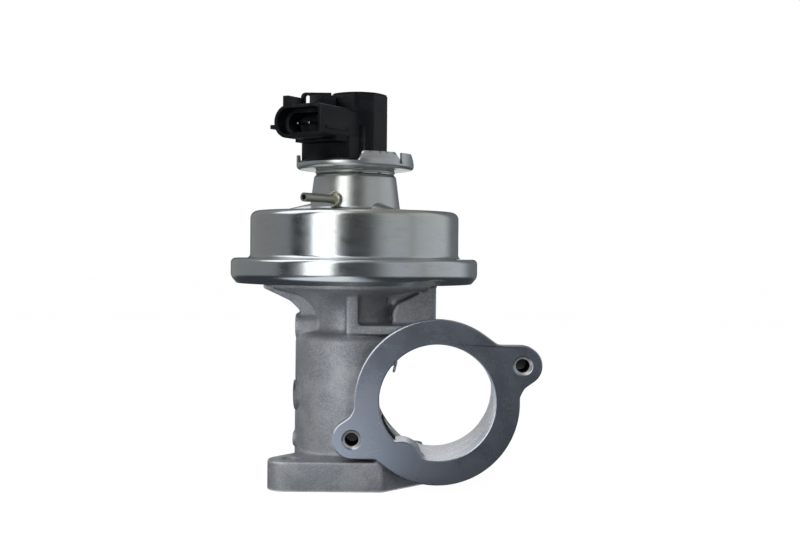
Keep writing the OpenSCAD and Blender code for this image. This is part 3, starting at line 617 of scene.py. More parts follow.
@dataclass(frozen=True)
class PlatedSteel(Finish):
    """Bright zinc plate on pressed sheet, with a faint tint that drifts over the surface."""

    base: tuple = colour(0.58, 0.615, 0.63)
    tint: tuple = colour(0.60, 0.61, 0.57)
    cool: tuple = colour(0.50, 0.54, 0.60)
    speckled: tuple = colour(0.34, 0.35, 0.34)
    rough: Pair = (0.16, 0.24)
    can_top: float = 121.0
    duller: float = 0.13

    def nodes(self, graph: Graph, where: Socket) -> dict[str, object]:
        """Drawn sheet with fine lines round the axis and sparse scratches, duller above the can's top."""
        cloud = graph.noise(graph.stretch(where, (1.0, 1.0, 2.5)), 90.0, 5.0, 0.65)
        metal = graph.blend(graph.fit(graph.noise(where, 26.0, 3.0), 0.4, 0.62), self.base, self.tint)
        metal = graph.blend(graph.fit(cloud, 0.5, 0.75, 0.0, 0.55), metal, self.cool)
        marks = SCRATCHES.place(graph, Vector=where, Scale=55.0)["Mask"]
        dots = graph.fit(graph.noise(where, 1500.0, 1.0), 0.79, 0.83)
        grain = GRAIN.place(graph, Vector=where, Fine=3200.0, Coarse=1100.0)
        drawn = graph.noise(graph.stretch(where, (0.06, 0.06, 1.0)), 4200.0, 2.0)
        speck = graph.fit(grain["Mottle"], 0.6, 0.72)
        metal = graph.blend(graph.times(speck, 0.25), metal, self.speckled)
        upper = graph.fit(graph.split(where)[2], self.can_top * MM, (self.can_top + 3) * MM, 0.0, self.duller)
        rough = graph.plus(graph.fit(cloud, 0.3, 0.7, *self.rough),
                           graph.plus(upper, graph.times(graph.most(marks, dots), 0.25)))
        height = graph.plus(graph.times(drawn, 0.12), grain["Height"])
        return {"Base Color": metal, "Metallic": 1.0, "Roughness": rough,
                "Normal": graph.bump(height, 0.006, 0.7)}


@dataclass(frozen=True)
class MouldedPlastic(Finish):
    """Satin black moulding with a fine spark-eroded texture."""

    base: tuple = colour(0.0016, 0.0022, 0.0032)
    dusty: tuple = colour(0.006, 0.0078, 0.0105)

    def nodes(self, graph: Graph, where: Socket) -> dict[str, object]:
        """Black, with dust in the texture."""
        grain = GRAIN.place(graph, Vector=where, Fine=4200.0, Coarse=1500.0)
        dust = graph.fit(graph.noise(where, 140.0, 5.0, 0.65), 0.45, 0.75)
        return {"Base Color": graph.blend(dust, self.base, self.dusty), "Metallic": 0.0,
                "Specular IOR Level": 0.24, "Roughness": graph.fit(dust, 0.0, 1.0, 0.36, 0.5),
                "Normal": graph.bump(grain["Height"], 0.012, 0.5)}


@dataclass(frozen=True)
class TurnedMetal(Finish):
    """Turned, ground or formed bare metal."""

    base: tuple = colour(0.5, 0.5, 0.5)
    worn: tuple = colour(0.3, 0.3, 0.3)
    rough: Pair = (0.22, 0.4)
    tool_marks: float = 0.5

    def nodes(self, graph: Graph, where: Socket) -> dict[str, object]:
        """Tool marks round the axis and a patchy film."""
        film = graph.noise(where, 160.0, 5.0, 0.65)
        grain = GRAIN.place(graph, Vector=where, Fine=3600.0, Coarse=1200.0)
        turned = graph.noise(graph.stretch(where, (0.05, 0.05, 1.0)), 5200.0, 2.0)
        height = graph.choose(self.tool_marks, grain["Height"], turned)
        return {"Base Color": graph.blend(graph.fit(film, 0.45, 0.75), self.base, self.worn),
                "Metallic": 1.0, "Roughness": graph.fit(film, 0.3, 0.7, *self.rough),
                "Normal": graph.bump(height, 0.004, 0.5)}


@dataclass(frozen=True)
class DullSolid(Finish):
    """Rubber, gasket fibre and ceramic, and also a patch of painted shade and a tab painted light: no metal in
    it.
    """

    base: tuple = colour(0.02, 0.02, 0.02)
    fleck: tuple = colour(0.05, 0.05, 0.05)
    rough: Pair = (0.6, 0.8)

    def nodes(self, graph: Graph, where: Socket) -> dict[str, object]:
        """Flecked colour over a fine grain."""
        grain = GRAIN.place(graph, Vector=where, Fine=2800.0, Coarse=900.0)
        mottle = grain["Mottle"]
        return {"Base Color": graph.blend(graph.fit(mottle, 0.4, 0.7), self.base, self.fleck),
                "Metallic": 0.0, "Roughness": graph.fit(mottle, 0.3, 0.7, *self.rough),
                "Normal": graph.bump(grain["Height"], 0.05, 0.5)}


CASTING = CastAluminium("cast_aluminium")
ZINC = PlatedSteel("zinc_plate")
NIPPLE_ZINC = PlatedSteel("nipple_plate", base=colour(0.42, 0.43, 0.37), tint=colour(0.46, 0.45, 0.36),
                          cool=colour(0.34, 0.36, 0.33), rough=(0.22, 0.34))
BRAZE = PlatedSteel("braze_fillet", base=colour(0.80, 0.79, 0.76), tint=colour(0.78, 0.72, 0.62),
                    cool=colour(0.70, 0.72, 0.74), rough=(0.12, 0.24))
PLASTIC = MouldedPlastic("satin_black")
PLUG_STEEL = TurnedMetal("plug_steel", base=colour(0.42, 0.43, 0.44), worn=colour(0.30, 0.31, 0.32),
                         rough=(0.35, 0.5))
SEAT_STEEL = TurnedMetal("seat_steel", base=colour(0.42, 0.41, 0.40), worn=colour(0.28, 0.26, 0.24))
STAINLESS = TurnedMetal("stainless", base=colour(0.52, 0.51, 0.49), worn=colour(0.40, 0.38, 0.35),
                        rough=(0.18, 0.32))
BRONZE = TurnedMetal("sintered_bronze", base=colour(0.48, 0.32, 0.16), worn=colour(0.34, 0.22, 0.12),
                     rough=(0.3, 0.5))
TIN = TurnedMetal("tinned_brass", base=colour(0.78, 0.76, 0.68), worn=colour(0.62, 0.58, 0.46),
                  rough=(0.16, 0.28), tool_marks=0.1)
SPRING_WIRE = TurnedMetal("spring_wire", base=colour(0.34, 0.34, 0.35), worn=colour(0.2, 0.2, 0.21),
                          tool_marks=0.0)
SCREW_ZINC = TurnedMetal("screw_zinc", base=colour(0.58, 0.58, 0.54), worn=colour(0.44, 0.43, 0.38))
# painted shade: a dark colour on the tapped threads, standing for the shade inside the holes
SHADED_THREAD = TurnedMetal("thread_painted_shade", base=colour(0.07, 0.072, 0.075), worn=colour(0.03, 0.03, 0.032),
                     rough=(0.3, 0.45), tool_marks=0.2)
RUBBER = DullSolid("black_rubber")
GASKET = DullSolid("gasket_fibre", base=colour(0.05, 0.05, 0.05), fleck=colour(0.12, 0.12, 0.115))
# painted light: a pale colour that makes the bore tab look lit, though the ring shades it
BRIGHT_TAB = DullSolid("tab_painted_light", base=colour(0.62, 0.63, 0.64), fleck=colour(0.8, 0.8, 0.8),
                    rough=(0.3, 0.4))
# painted shade: a near-black finish for the patch that stands for the shade inside the gas port's opening
PORT_SHADE = DullSolid("painted_port_shade", base=colour(0.006, 0.006, 0.006), fleck=colour(0.015, 0.014, 0.013),
                 rough=(0.8, 0.95))
CERAMIC = DullSolid("ceramic", base=colour(0.62, 0.60, 0.53), fleck=colour(0.74, 0.72, 0.66),
                    rough=(0.35, 0.5))


def finish_piece(obj: Object, look: Finish, replaces: Sequence[str] = (), body: str = "housing",
                 degrees: float | None = None) -> Object:
    """Gives a finished mesh its shading, material and body.

    Args:
        obj: the finished piece.
        look: its finish.
        replaces: CAD nodes that it stands for.
        body: the CAD body that it rides on.
        degrees: edges sharper than this stay sharp; without it the shading stays as it is.

    Returns:
        The same object.
    """
    if degrees is not None:
        smooth(obj, degrees)
    obj.data.materials.clear()
    obj.data.materials.append(look.material())
    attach(obj, body)
    if replaces:
        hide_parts(*replaces)
    LOG.info("%s: %d faces on %s", obj.name, len(obj.data.polygons), body)
    return obj


def dress_node(node: str, look: Finish) -> None:
    """Gives a carried-over CAD node its finish."""
    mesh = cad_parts[node].data
    mesh.materials.clear()
    mesh.materials.append(look.material())
    LOG.info("%s: dressed", node)


# ---- Sub-assemblies --------------------------------------------------------------------------


@dataclass
class Casting:
    """The die-cast body: cast skin with rounded corners, and crisp machined faces and holes."""

    plate_z: float = 89.0
    lug_hole: float = 3.0
    lug_sink: float = 4.6
    lug_depth: float = 15.0
    base_bolt: Pair = (26.354, 31.408)
    base_hole: float = 4.3
    base_t: float = 13.0
    boss: Triple = (-26.6, -5.0, 69.9)
    boss_hole: float = 2.5
    boss_depth: float = 10.0
    inlet: Pair = (14.0, 4.0)  # radius, depth
    seat: Pair = (13.0, 9.5)
    screws: int = 3
    screw_reach: float = 24.0
    screw_hole: float = 2.5
    voxel: float = 0.78
    spare: float = 2.0
    near: float = 0.02  # how close to a plane a point counts as on it
    lug_bar: Pair = (0.7, 20.0)  # spare radius, length
    screw_bar: Triple = (0.5, 7.0, 2.5)  # spare radius, length, its middle's depth
    hole_margin: float = 0.6
    seat_margin: float = 0.8
    over: float = 1.0
    base_over: float = 8.0
    face_ease: float = 0.45
    ease_depth: float = 0.18
    rear_ear_top: float = 7.6
    ear_cut: Pair = (11.5, 10.0)  # radius, height
    column_front: float = -17.0
    corner_depth: float = 3.5
    corner_over: float = 2.0
    corner_outline: tuple[Pair, ...] = (
        (15.0, 74.6), (17.4, 74.6), (18.2, 77.6), (20.0, 80.6), (33.0, 87.0), (15.0, 87.0))
    thread_pitch: float = 1.0
    thread_crest: float = 0.32
    thread_root: float = 0.05
    thread_half: float = 0.46
    thread_steps: int = 36
    lug_thread: Pair = (0.6, 4.0)  # how far in it starts, how much shorter than the hole it is
    boss_thread: Pair = (1.0, 3.0)
    port_turn: Pair = (197.0, 226.0)
    port_y: Pair = (-38.0, -28.5)
    port_wall: Pair = (-0.15, 1.5)  # from the bore's wall: inner, outer
    bore_r: float = 24.7
    tab_at: Triple = (19.3, 10.0, 49.7)
    tab_size: Triple = (1.2, 7.0, 5.2)
    tab_tilt: float = 14.0
    tab_edge: float = 0.3

    def lugs(self) -> list[Pair]:
        """X and Z of the two lug holes."""
        return [(RING.centre[0] + out, RING.centre[1] + high) for out, high in RING.lugs()]

    def corner(self) -> Object:
        """A wedge that takes the slanted corner off the column under the plate.

        Returns:
            The cutter.
        """
        front = self.column_front - self.corner_over
        wedge = outline("cut", [mm(x, front, z) for x, z in self.corner_outline])
        with editing(wedge, Pick.ALL):
            bpy.ops.mesh.extrude_region_move(
                TRANSFORM_OT_translate={"value": mm(0, self.corner_depth + self.corner_over, 0)})
            bpy.ops.mesh.select_all(action="SELECT")
            bpy.ops.mesh.normals_make_consistent(inside=False)
        return wedge

    def plugs(self) -> list[Object]:
        """Bars that fill the machined holes while the skin is rounded.

        Returns:
            The round bars.
        """
        margin, length = self.lug_bar
        bars = [cylinder("fill", (x, RING.face_y - self.spare + length / 2, z), self.lug_sink + margin,
                         length, Axis.Y) for x, z in self.lugs()]
        for side in (1, -1):
            bars.append(cylinder("fill", (side * self.base_bolt[0], side * self.base_bolt[1],
                                          self.base_t / 2 - self.spare / 2),
                                 self.base_hole + self.hole_margin, self.base_t + self.spare))
        bars.append(cylinder("fill", (self.boss[0] + self.boss_depth / 2, *self.boss[1:]),
                             self.boss_hole + self.hole_margin, self.boss_depth, Axis.X))
        bars.append(cylinder("fill", (0, 0, self.seat[1] / 2 - self.spare / 2),
                             self.inlet[0] + self.seat_margin, self.seat[1] + self.spare))
        margin, length, depth = self.screw_bar
        for number in range(self.screws):
            turn = 2 * math.pi * number / self.screws
            bars.append(cylinder("fill", (self.screw_reach * math.cos(turn), self.screw_reach * math.sin(turn),
                                          self.plate_z - depth), self.screw_hole + margin, length))
        return bars

    def cutters(self) -> list[Object]:
        """All machined holes, as cutters that don't overlap within one object.

        Returns:
            Cutters to use one after the other.
        """
        sink, over, ease = self.lug_sink - self.lug_hole, self.over, self.over / 2
        bores, sinks = [], []
        for x, z in self.lugs():
            bores.append(cylinder("cut", (x, RING.face_y + self.lug_depth / 2 - ease, z), self.lug_hole,
                                  self.lug_depth + over, Axis.Y))
            sinks.append(cylinder("cut", (x, RING.face_y + sink / 2 - ease, z), self.lug_sink + ease,
                                  sink + over, Axis.Y, self.lug_hole - ease))
        for side in (1, -1):
            bores.append(cylinder("cut", (side * self.base_bolt[0], side * self.base_bolt[1], self.base_t / 2),
                                  self.base_hole, self.base_t + self.base_over))
        bores.append(cylinder("cut", (self.boss[0] + self.boss_depth / 2 - over, *self.boss[1:]),
                              self.boss_hole, self.boss_depth + 2 * over, Axis.X))
        bores.append(cylinder("cut", (0, 0, self.inlet[1] / 2 - over), self.inlet[0], self.inlet[1] + 2 * over))
        sinks.append(cylinder("cut", (0, 0, self.seat[1] / 2 + over), self.seat[0], self.seat[1]))
        radius, height = self.ear_cut
        sinks.append(cylinder("cut", (*self.base_bolt, self.rear_ear_top + height / 2), radius, height))
        return [join(group[0], group[1:]) for group in (bores, sinks)]

    def ease_face(self, body: Object) -> None:
        """Raises the ring's face to its plane, with a fine chamfer along every edge.

        Args:
            body: the drilled body, cut short of the plane by the chamfer's depth.
        """
        limit = (RING.face_y + self.ease_depth + self.near) * MM
        pick_faces(body, lambda face: face.normal.y < -0.99 and face.center.y < limit)
        with editing(body, Pick.KEPT):
            bpy.ops.mesh.select_mode(type="FACE")
            bpy.ops.mesh.inset(thickness=self.face_ease * MM, depth=self.ease_depth * MM, use_even_offset=False)
            bpy.ops.mesh.region_to_loop()
            bpy.ops.mesh.mark_sharp()

    def build(self) -> None:
        """Rounds the cast skin, then machines it."""
        body = node_copy("valve_body", "cast_body")
        for vertex in body.data.vertices:
            if vertex.co.y < (RING.face_y + self.near) * MM:
                vertex.co.y -= self.spare * MM
            if vertex.co.z < self.near * MM:
                vertex.co.z -= self.spare * MM
            elif vertex.co.z > (self.plate_z - self.near) * MM:
                vertex.co.z += self.spare * MM
        carve(body, self.corner())
        body = join(body, self.plugs())
        remesh = body.modifiers.new("skin", "REMESH")
        remesh.mode = "VOXEL"
        remesh.voxel_size = self.voxel * MM
        relax = body.modifiers.new("relax", "SMOOTH")
        relax.factor = 0.5
        relax.iterations = 3
        apply_modifiers(body)
        slice_off(body, mm(0, RING.face_y + self.ease_depth, 0), Vector((0, -1, 0)))
        slice_off(body, mm(0, 0, 0), Vector((0, 0, -1)))
        slice_off(body, mm(0, 0, self.plate_z), Vector((0, 0, 1)))
        for cutter in self.cutters():
            carve(body, cutter)
        self.ease_face(body)
        finish_piece(body, CASTING, ["valve_body"], degrees=38)

    def thread(self, name: str, radius: float, depth: float, where: Vector, turn: Triple) -> None:
        """Adds the crest of a tapped thread.

        Args:
            name: the piece's name.
            radius: the hole's radius, where the crest starts.
            depth: how far in the thread goes.
            where: its outer end, in metres.
            turn: its turn from a thread that runs down from the origin.
        """
        root, half = radius + self.thread_root, self.thread_half * self.thread_pitch
        helix = outline(name, [mm(root, 0, half), mm(radius - self.thread_crest, 0, 0), mm(root, 0, -half)],
                        Form.LOOP)
        turns = helix.modifiers.new("turns", "SCREW")
        turns.axis = "Z"
        turns.steps = turns.render_steps = self.thread_steps
        turns.iterations = int(depth / self.thread_pitch)
        turns.screw_offset = -self.thread_pitch * MM
        apply_modifiers(helix)
        with editing(helix, Pick.ALL):
            bpy.ops.mesh.remove_doubles(threshold=0.001 * MM)
            bpy.ops.mesh.fill_holes(sides=3)
            bpy.ops.mesh.normals_make_consistent(inside=False)
        helix.rotation_euler = turn
        helix.location = where
        settle(helix)
        # painted shade: the thread's dark finish
        finish_piece(helix, SHADED_THREAD, degrees=30)

    def port_shade_patch(self) -> None:
        """Adds a dark patch on the bore's wall at the gas port's mouth: painted shade standing for the port's
        opening.
        """
        first, last = (math.radians(turn) for turn in self.port_turn)
        inner, outer = (self.bore_r + step for step in self.port_wall)
        low, high = self.port_y
        mouth = outline("port_shade_patch", [
            mm(RING.centre[0] + out * math.cos(first), along, RING.centre[1] + out * math.sin(first))
            for out, along in ((inner, low), (inner, high), (outer, high), (outer, low))])
        with editing(mouth, Pick.ALL):
            bpy.ops.mesh.spin(steps=16, angle=last - first, axis=(0, 1, 0), use_auto_merge=False,
                              center=mm(RING.centre[0], 0, RING.centre[1]))
        weld(mouth, 0.001)
        # painted shade at the port's mouth
        finish_piece(mouth, PORT_SHADE)

    def bore_tab(self) -> None:
        """Adds the small trimmed tab left standing at the bore's far edge, in a pale colour painted so that it
        looks lit where the ring shades it.
        """
        bpy.ops.object.select_all(action="DESELECT")
        bpy.ops.mesh.primitive_cube_add(size=1, location=mm(*self.tab_at), scale=mm(*self.tab_size),
                                        rotation=(0, math.radians(self.tab_tilt), 0))
        tab = named("bore_tab")
        settle(tab)
        with editing(tab, Pick.ALL):
            bpy.ops.mesh.bevel(offset=self.tab_edge * MM, segments=2, affect="EDGES")
        # painted light on the tab
        finish_piece(tab, BRIGHT_TAB, degrees=40)

    def dress(self) -> None:
        """Adds the threads of the lugs and of the bracket hole, the patch of painted shade at the port's mouth,
        and the tab painted light.
        """
        start, stop = self.lug_thread
        for number, (x, z) in enumerate(self.lugs()):
            self.thread(f"lug_thread_{number}", self.lug_hole, self.lug_depth - stop,
                        mm(x, RING.face_y + self.lug_sink - self.lug_hole + start, z), (math.pi / 2, 0, 0))
        self.port_shade_patch()
        self.bore_tab()
        start, stop = self.boss_thread
        self.thread("bracket_thread", self.boss_hole, self.boss_depth - stop,
                    mm(self.boss[0] + start, *self.boss[1:]), (0, -math.pi / 2, 0))


@dataclass
class VacuumCan:
    """Crimped can, lower shell, nipple and cup."""

    nipple_root: Triple = (-7.7, -18.5, 127.5)
    nipple_turn: float = 37.0
    nipple_hole: float = 2.2
    drill: Pair = (-4.0, 10.0)  # middle, length
    collar: float = 3.0
    braze: Triple = (0.1, 0.55, 2.0)  # inset into the collar, thickness, distance along the tube
    braze_seed: int = 4
    sheet: float = 1.2
    support: float = 0.35
    bend_steps: int = 12
    outline: tuple[Triple, ...] = (  # radius, height, bend
        (9.0, 139.5, 0.0), (18.9, 139.5, 2.0), (21.0, 123.2, 1.6), (48.2, 122.3, 3.4), (48.2, 100.8, 1.9),
        (57.0, 100.8, 2.2), (57.0, 92.4, 4.2), (54.4, 89.4, 0.0))
    darts: int = 3
    first_dart: float = -56.0
    dart_at: Pair = (27.0, 121.7)
    dart_size: Triple = (17.0, 5.4, 4.9)  # length, half width, height
    dart_tip: float = 0.8
    dart_sunk: float = 0.2

    def path(self) -> list[tuple]:
        """Radius and height of the pressing's outside, with its corners rounded.

        Returns:
            Points from the tower's hole down to the rim's turned-in edge.
        """
        corners = [(Vector((out, high)), bend) for out, high, bend in self.outline]
        points = [tuple(corners[0][0])]
        for (before, _), (here, bend), (after, _) in zip(corners, corners[1:], corners[2:]):
            back, ahead = (before - here).normalized(), (after - here).normalized()
            half = back.angle(ahead) / 2
            reach = bend / math.tan(half)
            middle = here + (back + ahead).normalized() * (bend / math.sin(half))
            start, end = here + back * reach, here + ahead * reach
            points.append(tuple(start + back * self.support))
            sweep = (start - middle).angle_signed(end - middle)
            for step in range(self.bend_steps + 1):
                turned = Matrix.Rotation(-sweep * step / self.bend_steps, 2) @ (start - middle)
                points.append(tuple(middle + turned))
            points.append(tuple(end + ahead * self.support))
        points.append(tuple(corners[-1][0]))
        return points

    def pressing(self) -> Object:
        """Turns the can's outline, gives it its sheet and drills the nipple's hole.

        Returns:
            The can, open at the rim's underside and at the tower's top.
        """
        can = outline("can_pressing", [mm(out, 0, high) for out, high in self.path()], Form.PATH)
        with editing(can, Pick.ALL):
            bpy.ops.mesh.spin(steps=192, angle=2 * math.pi, center=(0, 0, 0), axis=(0, 0, 1))
        weld(can)
        wall = can.modifiers.new("sheet", "SOLIDIFY")
        wall.thickness = self.sheet * MM
        wall.offset = -1
        wall.use_even_offset = True
        apply_modifiers(can)
        middle, length = self.drill
        drill = cylinder("cut", (0, middle, 0), self.nipple_hole, length, Axis.Y)
        drill.rotation_euler = (0, 0, -math.radians(self.nipple_turn))
        drill.location = mm(*self.nipple_root)
        settle(drill)
        carve(can, drill)
        return can

    def stamp(self) -> list[Object]:
        """Low mounds stamped at the tower's foot, evenly round it.

        Returns:
            The mounds, modelled once and copied.
        """
        length, width, height = self.dart_size
        first = cylinder("can_dart_0", (0, 0, 0), width, length, Axis.X, self.dart_tip)
        with editing(first, Pick.ALL):
            bpy.ops.transform.resize(value=(1, 1, height / width))
            bpy.ops.transform.translate(value=mm(self.dart_at[0], 0, self.dart_at[1]))
        slice_off(first, mm(0, 0, self.dart_at[1] - self.dart_sunk), Vector((0, 0, -1)))
        mounds = [first]
        for number in range(1, self.darts):
            mounds.append(add_object(f"can_dart_{number}", first.data.copy()))
        for number, mound in enumerate(mounds):
            mound.rotation_euler = (0, 0, math.radians(self.first_dart + number * 360 / self.darts))
            settle(mound)
        return mounds

    def build(self) -> None:
        """Makes the can with its mounds, and smooths the other pressings."""
        finish_piece(self.pressing(), ZINC, ["upper_shell"], degrees=40)
        for mound in self.stamp():
            finish_piece(mound, ZINC, degrees=40)
        for node, name in (("lower_shell", "shell_pressing"), ("sensor_cup", "cup_pressing")):
            piece = node_copy(node, name)
            even_normals(piece, 30)
            finish_piece(piece, ZINC, [node])

    def dress(self) -> None:
        """Adds the nipple with its braze fillet."""
        tube = node_copy("vacuum_nipple", "hose_nipple")
        finish_piece(tube, NIPPLE_ZINC, ["vacuum_nipple"], degrees=30)
        turn = math.radians(self.nipple_turn)
        ahead = Vector((-math.sin(turn), -math.cos(turn), 0))
        inset, thick, reach = self.braze
        bpy.ops.object.select_all(action="DESELECT")
        bpy.ops.mesh.primitive_torus_add(major_radius=(self.collar - inset) * MM, minor_radius=thick * MM,
                                         major_segments=48, minor_segments=16,
                                         location=mm(*self.nipple_root) + ahead * reach * MM,
                                         rotation=(math.pi / 2, 0, -turn))
        ring = named("braze_ring")
        settle(ring)
        with editing(ring, Pick.ALL):
            bpy.ops.transform.vertex_random(offset=0.22 * MM, uniform=0.3, normal=0.7, seed=self.braze_seed)
        finish_piece(ring, BRAZE, degrees=60)


@dataclass
class PositionSensor:
    """Black sensor moulding, its lid and its pins."""

    edge: float = 0.28
    pin_edge: float = 0.2

    def rounded(self, node: str, name: str, width: float) -> Object:
        """A copy of a CAD node with its sharp edges rounded.

        Args:
            node: the CAD node.
            name: the new piece's name.
            width: the rounding's width.

        Returns:
            The new piece.
        """
        piece = node_copy(node, name)
        with editing(piece, Pick.ALL):
            bpy.ops.mesh.dissolve_limited(angle_limit=math.radians(0.5), use_dissolve_boundaries=False)
        bevel = piece.modifiers.new("edges", "BEVEL")
        bevel.width = width * MM
        bevel.segments = 2
        bevel.limit_method = "ANGLE"
        bevel.angle_limit = math.radians(40)
        apply_modifiers(piece)
        return piece

    def build(self) -> None:
        """Rounds the mouldings and the pins."""
        for node, name, width, look, slot in (
                ("sensor_housing", "sensor_moulding", self.edge, PLASTIC, "black_plastic"),
                ("sensor_lid", "lid_moulding", self.edge, PLASTIC, "black_plastic"),
                ("terminals", "pins", self.pin_edge, TIN, "terminal_metal")):
            finish_piece(self.rounded(node, name, width), look, [node], degrees=32)


@dataclass
class ValveTrain:
    """Springs and diaphragm, which change shape as the valve lifts though here they keep their CAD shape, and
    the plain inner pieces.
    """

    stroke: float = 6.5
    return_spring: Pair = (98.4, 136.9)  # low end, high end
    plunger_spring: Pair = (152.1, 175.5)
    piston_radius: float = 33.2
    looks: dict[str, Finish] = field(default_factory=lambda: {
        "core_plug": PLUG_STEEL, "valve_seat": SEAT_STEEL, "valve_head": STAINLESS,
        "valve_stem": STAINLESS, "stem_guide": BRONZE, "stem_seal": RUBBER, "seal_cap": ZINC,
        "shell_gasket": GASKET, "shell_screws": SCREW_ZINC, "diaphragm_plate": ZINC,
        "spring_cup": ZINC, "stem_nut": SCREW_ZINC, "spring_seat": ZINC, "sensor_seal": RUBBER,
        "plunger_guide": BRONZE, "sensor_plunger": STAINLESS, "resistor_track": CERAMIC,
        "wiper_contact": TIN})

    def build(self) -> None:
        """Makes copies of the springs, unchanged in shape, and the two halves of the diaphragm."""
        for node, name, (low, high) in (("return_spring", "return_coil", self.return_spring),
                                        ("plunger_spring", "plunger_coil", self.plunger_spring)):
            coil = finish_piece(node_copy(node, name), SPRING_WIRE, [node], degrees=60)
            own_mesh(coil)
        self.diaphragm()

    def diaphragm(self) -> None:
        """Splits the diaphragm into the part that the plates carry and the rolling part."""
        limit = self.piston_radius * MM
        for name, body, keep_inside in (("diaphragm_middle", "valve_rod", True),
                                        ("diaphragm_roll", "housing", False)):
            piece = node_copy("diaphragm", name)
            pick_faces(piece, lambda face: (face.center.xy.length < limit) != keep_inside)
            with editing(piece, Pick.KEPT):
                bpy.ops.mesh.delete(type="FACE")
                bpy.ops.mesh.select_all(action="SELECT")
                bpy.ops.mesh.fill_holes(sides=0)
            finish_piece(piece, RUBBER, ["diaphragm"], body, degrees=40)

    def dress(self) -> None:
        """Gives every carried-over CAD node its finish."""
        for node, look in self.looks.items():
            dress_node(node, look)


# ---- Studio ----------------------------------------------------------------------------------


@dataclass
class Studio:
    """Camera, lamps, cards, world and floor."""

    eye: Triple = (19.4, -539.0, 104.0)
    target: Triple = (21.2, 0.0, 97.25)
    roll: float = 0.5
    focal_px: float = 1158.2
    width_px: float = 800.0
    sensor: float = 36.0
    lit_point: Triple = (10.0, 0.0, 95.0)
    flag_profile: tuple[Pair, ...] = (  # radius, height, in metres
        (0.002, 0.0006), (1.5, 0.0006), (1.5, 2.2), (0.3, 2.4))
    flag_reach: float = 172.0
    flag_floor: float = 0.055
    flag_top: float = 0.30
    flag_levels: tuple[Pair, ...] = (  # degrees from -Y, level
        (-172, 0.10), (-158, 0.16), (-150, 0.28), (-71, 0.27), (-66, 0.05), (-56, 0.05), (-48, 0.30),
        (-17, 0.30), (-10, 0.06), (0, 0.05), (18, 0.11), (28, 0.34), (38, 0.50), (60, 0.48), (66, 0.38),
        (74, 0.52), (115, 0.62), (132, 0.20), (158, 0.16), (172, 0.10))
    card_right: Pair = (0.055, -0.03)  # where each edge of the card is dark and bright, in metres
    card_left: Pair = (-0.20, -0.12)
    card_far: Pair = (-0.06, -0.09)
    card_near: Pair = (-0.60, -0.32)
    floor_radius: float = 4.0
    floor_level: float = -0.0001

    def camera(self) -> None:
        """Sets the photograph's viewpoint."""
        data = bpy.data.cameras.new("view")
        data.sensor_width = self.sensor
        data.lens = self.sensor * self.focal_px / self.width_px
        data.clip_start = 0.01
        cam = add_object("view", data)
        eye, target = mm(*self.eye), mm(*self.target)
        turn = (target - eye).to_track_quat("-Z", "Y").to_matrix().to_4x4()
        cam.matrix_world = Matrix.Translation(eye) @ turn @ Matrix.Rotation(math.radians(self.roll), 4, "Z")
        bpy.context.scene.camera = cam

    def lamp(self, name: str, azimuth: float, elevation: float, distance: float, size: Pair, power: float,
             mirrored: bool = True, lit: bool = True) -> None:
        """Adds a rectangular softbox aimed at the object.

        Args:
            name: the lamp's name.
            azimuth: its direction in degrees from -Y towards +X.
            elevation: its height over the object in degrees.
            distance: its distance in metres.
            size: width and height in metres.
            power: watts.
            mirrored: whether reflections show it.
            lit: whether it lights dull surfaces.
        """
        data = bpy.data.lights.new(name, "AREA")
        data.shape = "RECTANGLE"
        data.size, data.size_y = size
        data.energy = power
        lamp = add_object(name, data)
        turn, lift = math.radians(azimuth), math.radians(elevation)
        away = Vector((math.sin(turn) * math.cos(lift), -math.cos(turn) * math.cos(lift), math.sin(lift)))
        lamp.location = mm(*self.lit_point) + away * distance
        lamp.rotation_euler = (-away).to_track_quat("-Z", "Y").to_euler()
        lamp.visible_glossy = mirrored
        lamp.visible_camera = False
        lamp.visible_diffuse = lit

    def flag_material(self) -> bpy.types.Material:
        """Grey levels by direction over a dark table, with one bright card on the table.

        Returns:
            The flags' material.
        """
        material, graph = new_material("flags")
        x, y, z = graph.split(graph.add("TexCoord").outputs["Object"])
        azimuth = graph.calc("ARCTAN2", x, graph.times(y, -1.0))
        ramp = graph.add("ValToRGB", {"Fac": graph.calc("MULTIPLY_ADD", azimuth, 0.5 / math.pi, 0.5)})
        stops = ramp.color_ramp.elements
        for number, (degrees, level) in enumerate(self.flag_levels):
            stop = stops[number] if number < 2 else stops.new(1.0)
            stop.position = degrees / 360 + 0.5
            stop.color = colour(level * 0.96, level, level * 1.05)
        level = graph.blend(graph.fit(z, 1.2, 2.2), ramp.outputs["Color"],
                            colour(self.flag_top, self.flag_top, self.flag_top))
        dark = colour(self.flag_floor * 0.9, self.flag_floor, self.flag_floor * 1.15)
        out = graph.calc("SQRT", graph.squares(x, y))
        table = graph.blend(graph.fit(out, 0.75, 0.28), level, dark)
        card = graph.times(graph.fit(x, *self.card_right), graph.fit(x, *self.card_left))
        for side in (self.card_far, self.card_near):
            card = graph.times(card, graph.fit(y, *side))
        table = graph.blend(card, table, colour(1.0, 1.06, 1.15))
        level = graph.blend(graph.fit(z, 0.02, 0.0), level, table)
        graph.show(graph.add("Emission", {"Color": level, "Strength": 1.0}).outputs[0])
        return material

    def flags(self) -> None:
        """Grey flags round the set, open at the back; they show only in reflections."""
        start = math.radians(self.flag_reach)
        away = Vector((math.sin(start), -math.cos(start), 0))
        obj = outline("flags", [away * out + Vector((0, 0, height)) for out, height in self.flag_profile],
                      Form.PATH)
        with editing(obj, Pick.ALL):
            bpy.ops.mesh.spin(steps=100, angle=math.radians(2 * self.flag_reach), center=(0, 0, 0),
                              axis=(0, 0, 1))
        obj.data.materials.append(self.flag_material())
        for rays in ("camera", "diffuse", "shadow", "transmission"):
            setattr(obj, f"visible_{rays}", False)

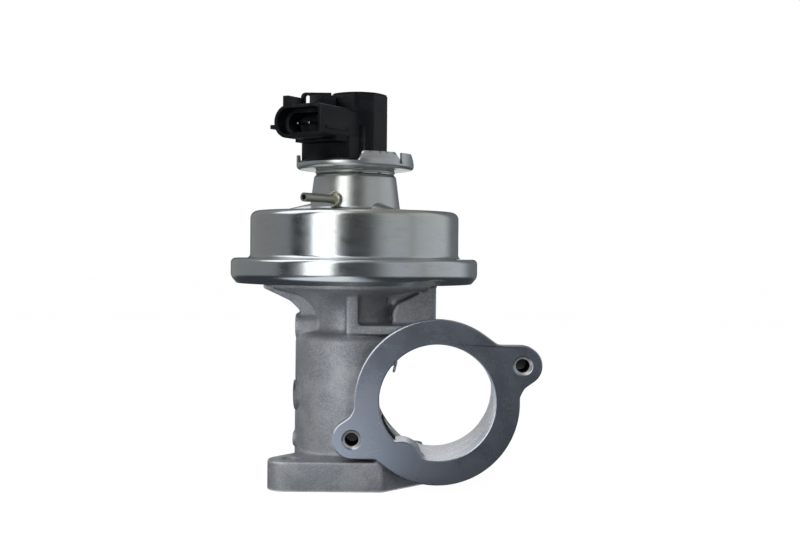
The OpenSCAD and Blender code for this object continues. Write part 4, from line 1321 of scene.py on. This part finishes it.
    def world(self) -> None:
        """White backdrop for the camera and for reflections, a plain level for the light."""
        world = bpy.data.worlds.new("studio")
        bpy.context.scene.world = world
        world.use_nodes = True
        graph = Graph(world.node_tree)
        graph.feed(world.node_tree.nodes["Background"],
                   {"Color": colour(1, 1, 1), "Strength": graph.choose(graph.seen(), 0.15, 1.0)})

    def floor(self) -> None:
        """A pale floor that keeps a soft shadow under the object."""
        bpy.ops.object.select_all(action="DESELECT")
        bpy.ops.mesh.primitive_circle_add(vertices=96, radius=self.floor_radius, fill_type="NGON",
                                          location=(0, 0, self.floor_level))
        obj = named("floor")
        settle(obj)
        material, graph = new_material("pale_floor")
        shader = graph.feed(graph.tree.nodes["Principled BSDF"],
                            {"Base Color": colour(0.9, 0.9, 0.9), "Roughness": 0.9})
        glow = graph.add("Emission", {"Color": colour(1, 1, 1), "Strength": 1.08})
        graph.show(graph.add("MixShader", {0: graph.times(graph.seen(), 0.9), 1: shader.outputs[0],
                                           2: glow.outputs[0]}).outputs[0])
        obj.data.materials.append(material)

    def build(self) -> None:
        """Sets the whole studio."""
        self.camera()
        self.world()
        self.floor()
        self.flags()
        self.lamp("softbox_left", -30.5, 8, 1.2, (0.56, 1.3), 5.0)
        self.lamp("softbox_high", -30.5, 52, 1.2, (0.50, 0.7), 1.6)
        self.lamp("edge_left", -90, 56, 1.3, (0.7, 1.2), 4.0, lit=False)
        self.lamp("card_left", -84, -12, 0.40, (0.30, 0.12), 1.4, mirrored=False)
        self.lamp("key_front", 4, 20, 1.4, (0.6, 0.6), 9.2, mirrored=False)
        self.lamp("soft_top", -10, 72, 1.3, (1.0, 0.8), 4.0, mirrored=False)
        bpy.context.scene.view_settings.view_transform = "Standard"


def main() -> None:
    """Builds and dresses each sub-assembly in order."""
    logging.basicConfig(level=logging.INFO, format="%(message)s")
    Studio().build()
    for assembly in (Casting(), VacuumCan(), PositionSensor(), ValveTrain()):
        assembly.build()
        if hasattr(assembly, "dress"):
            assembly.dress()
        LOG.info("%s finished", type(assembly).__name__)


if __name__ == "__main__":
    main()
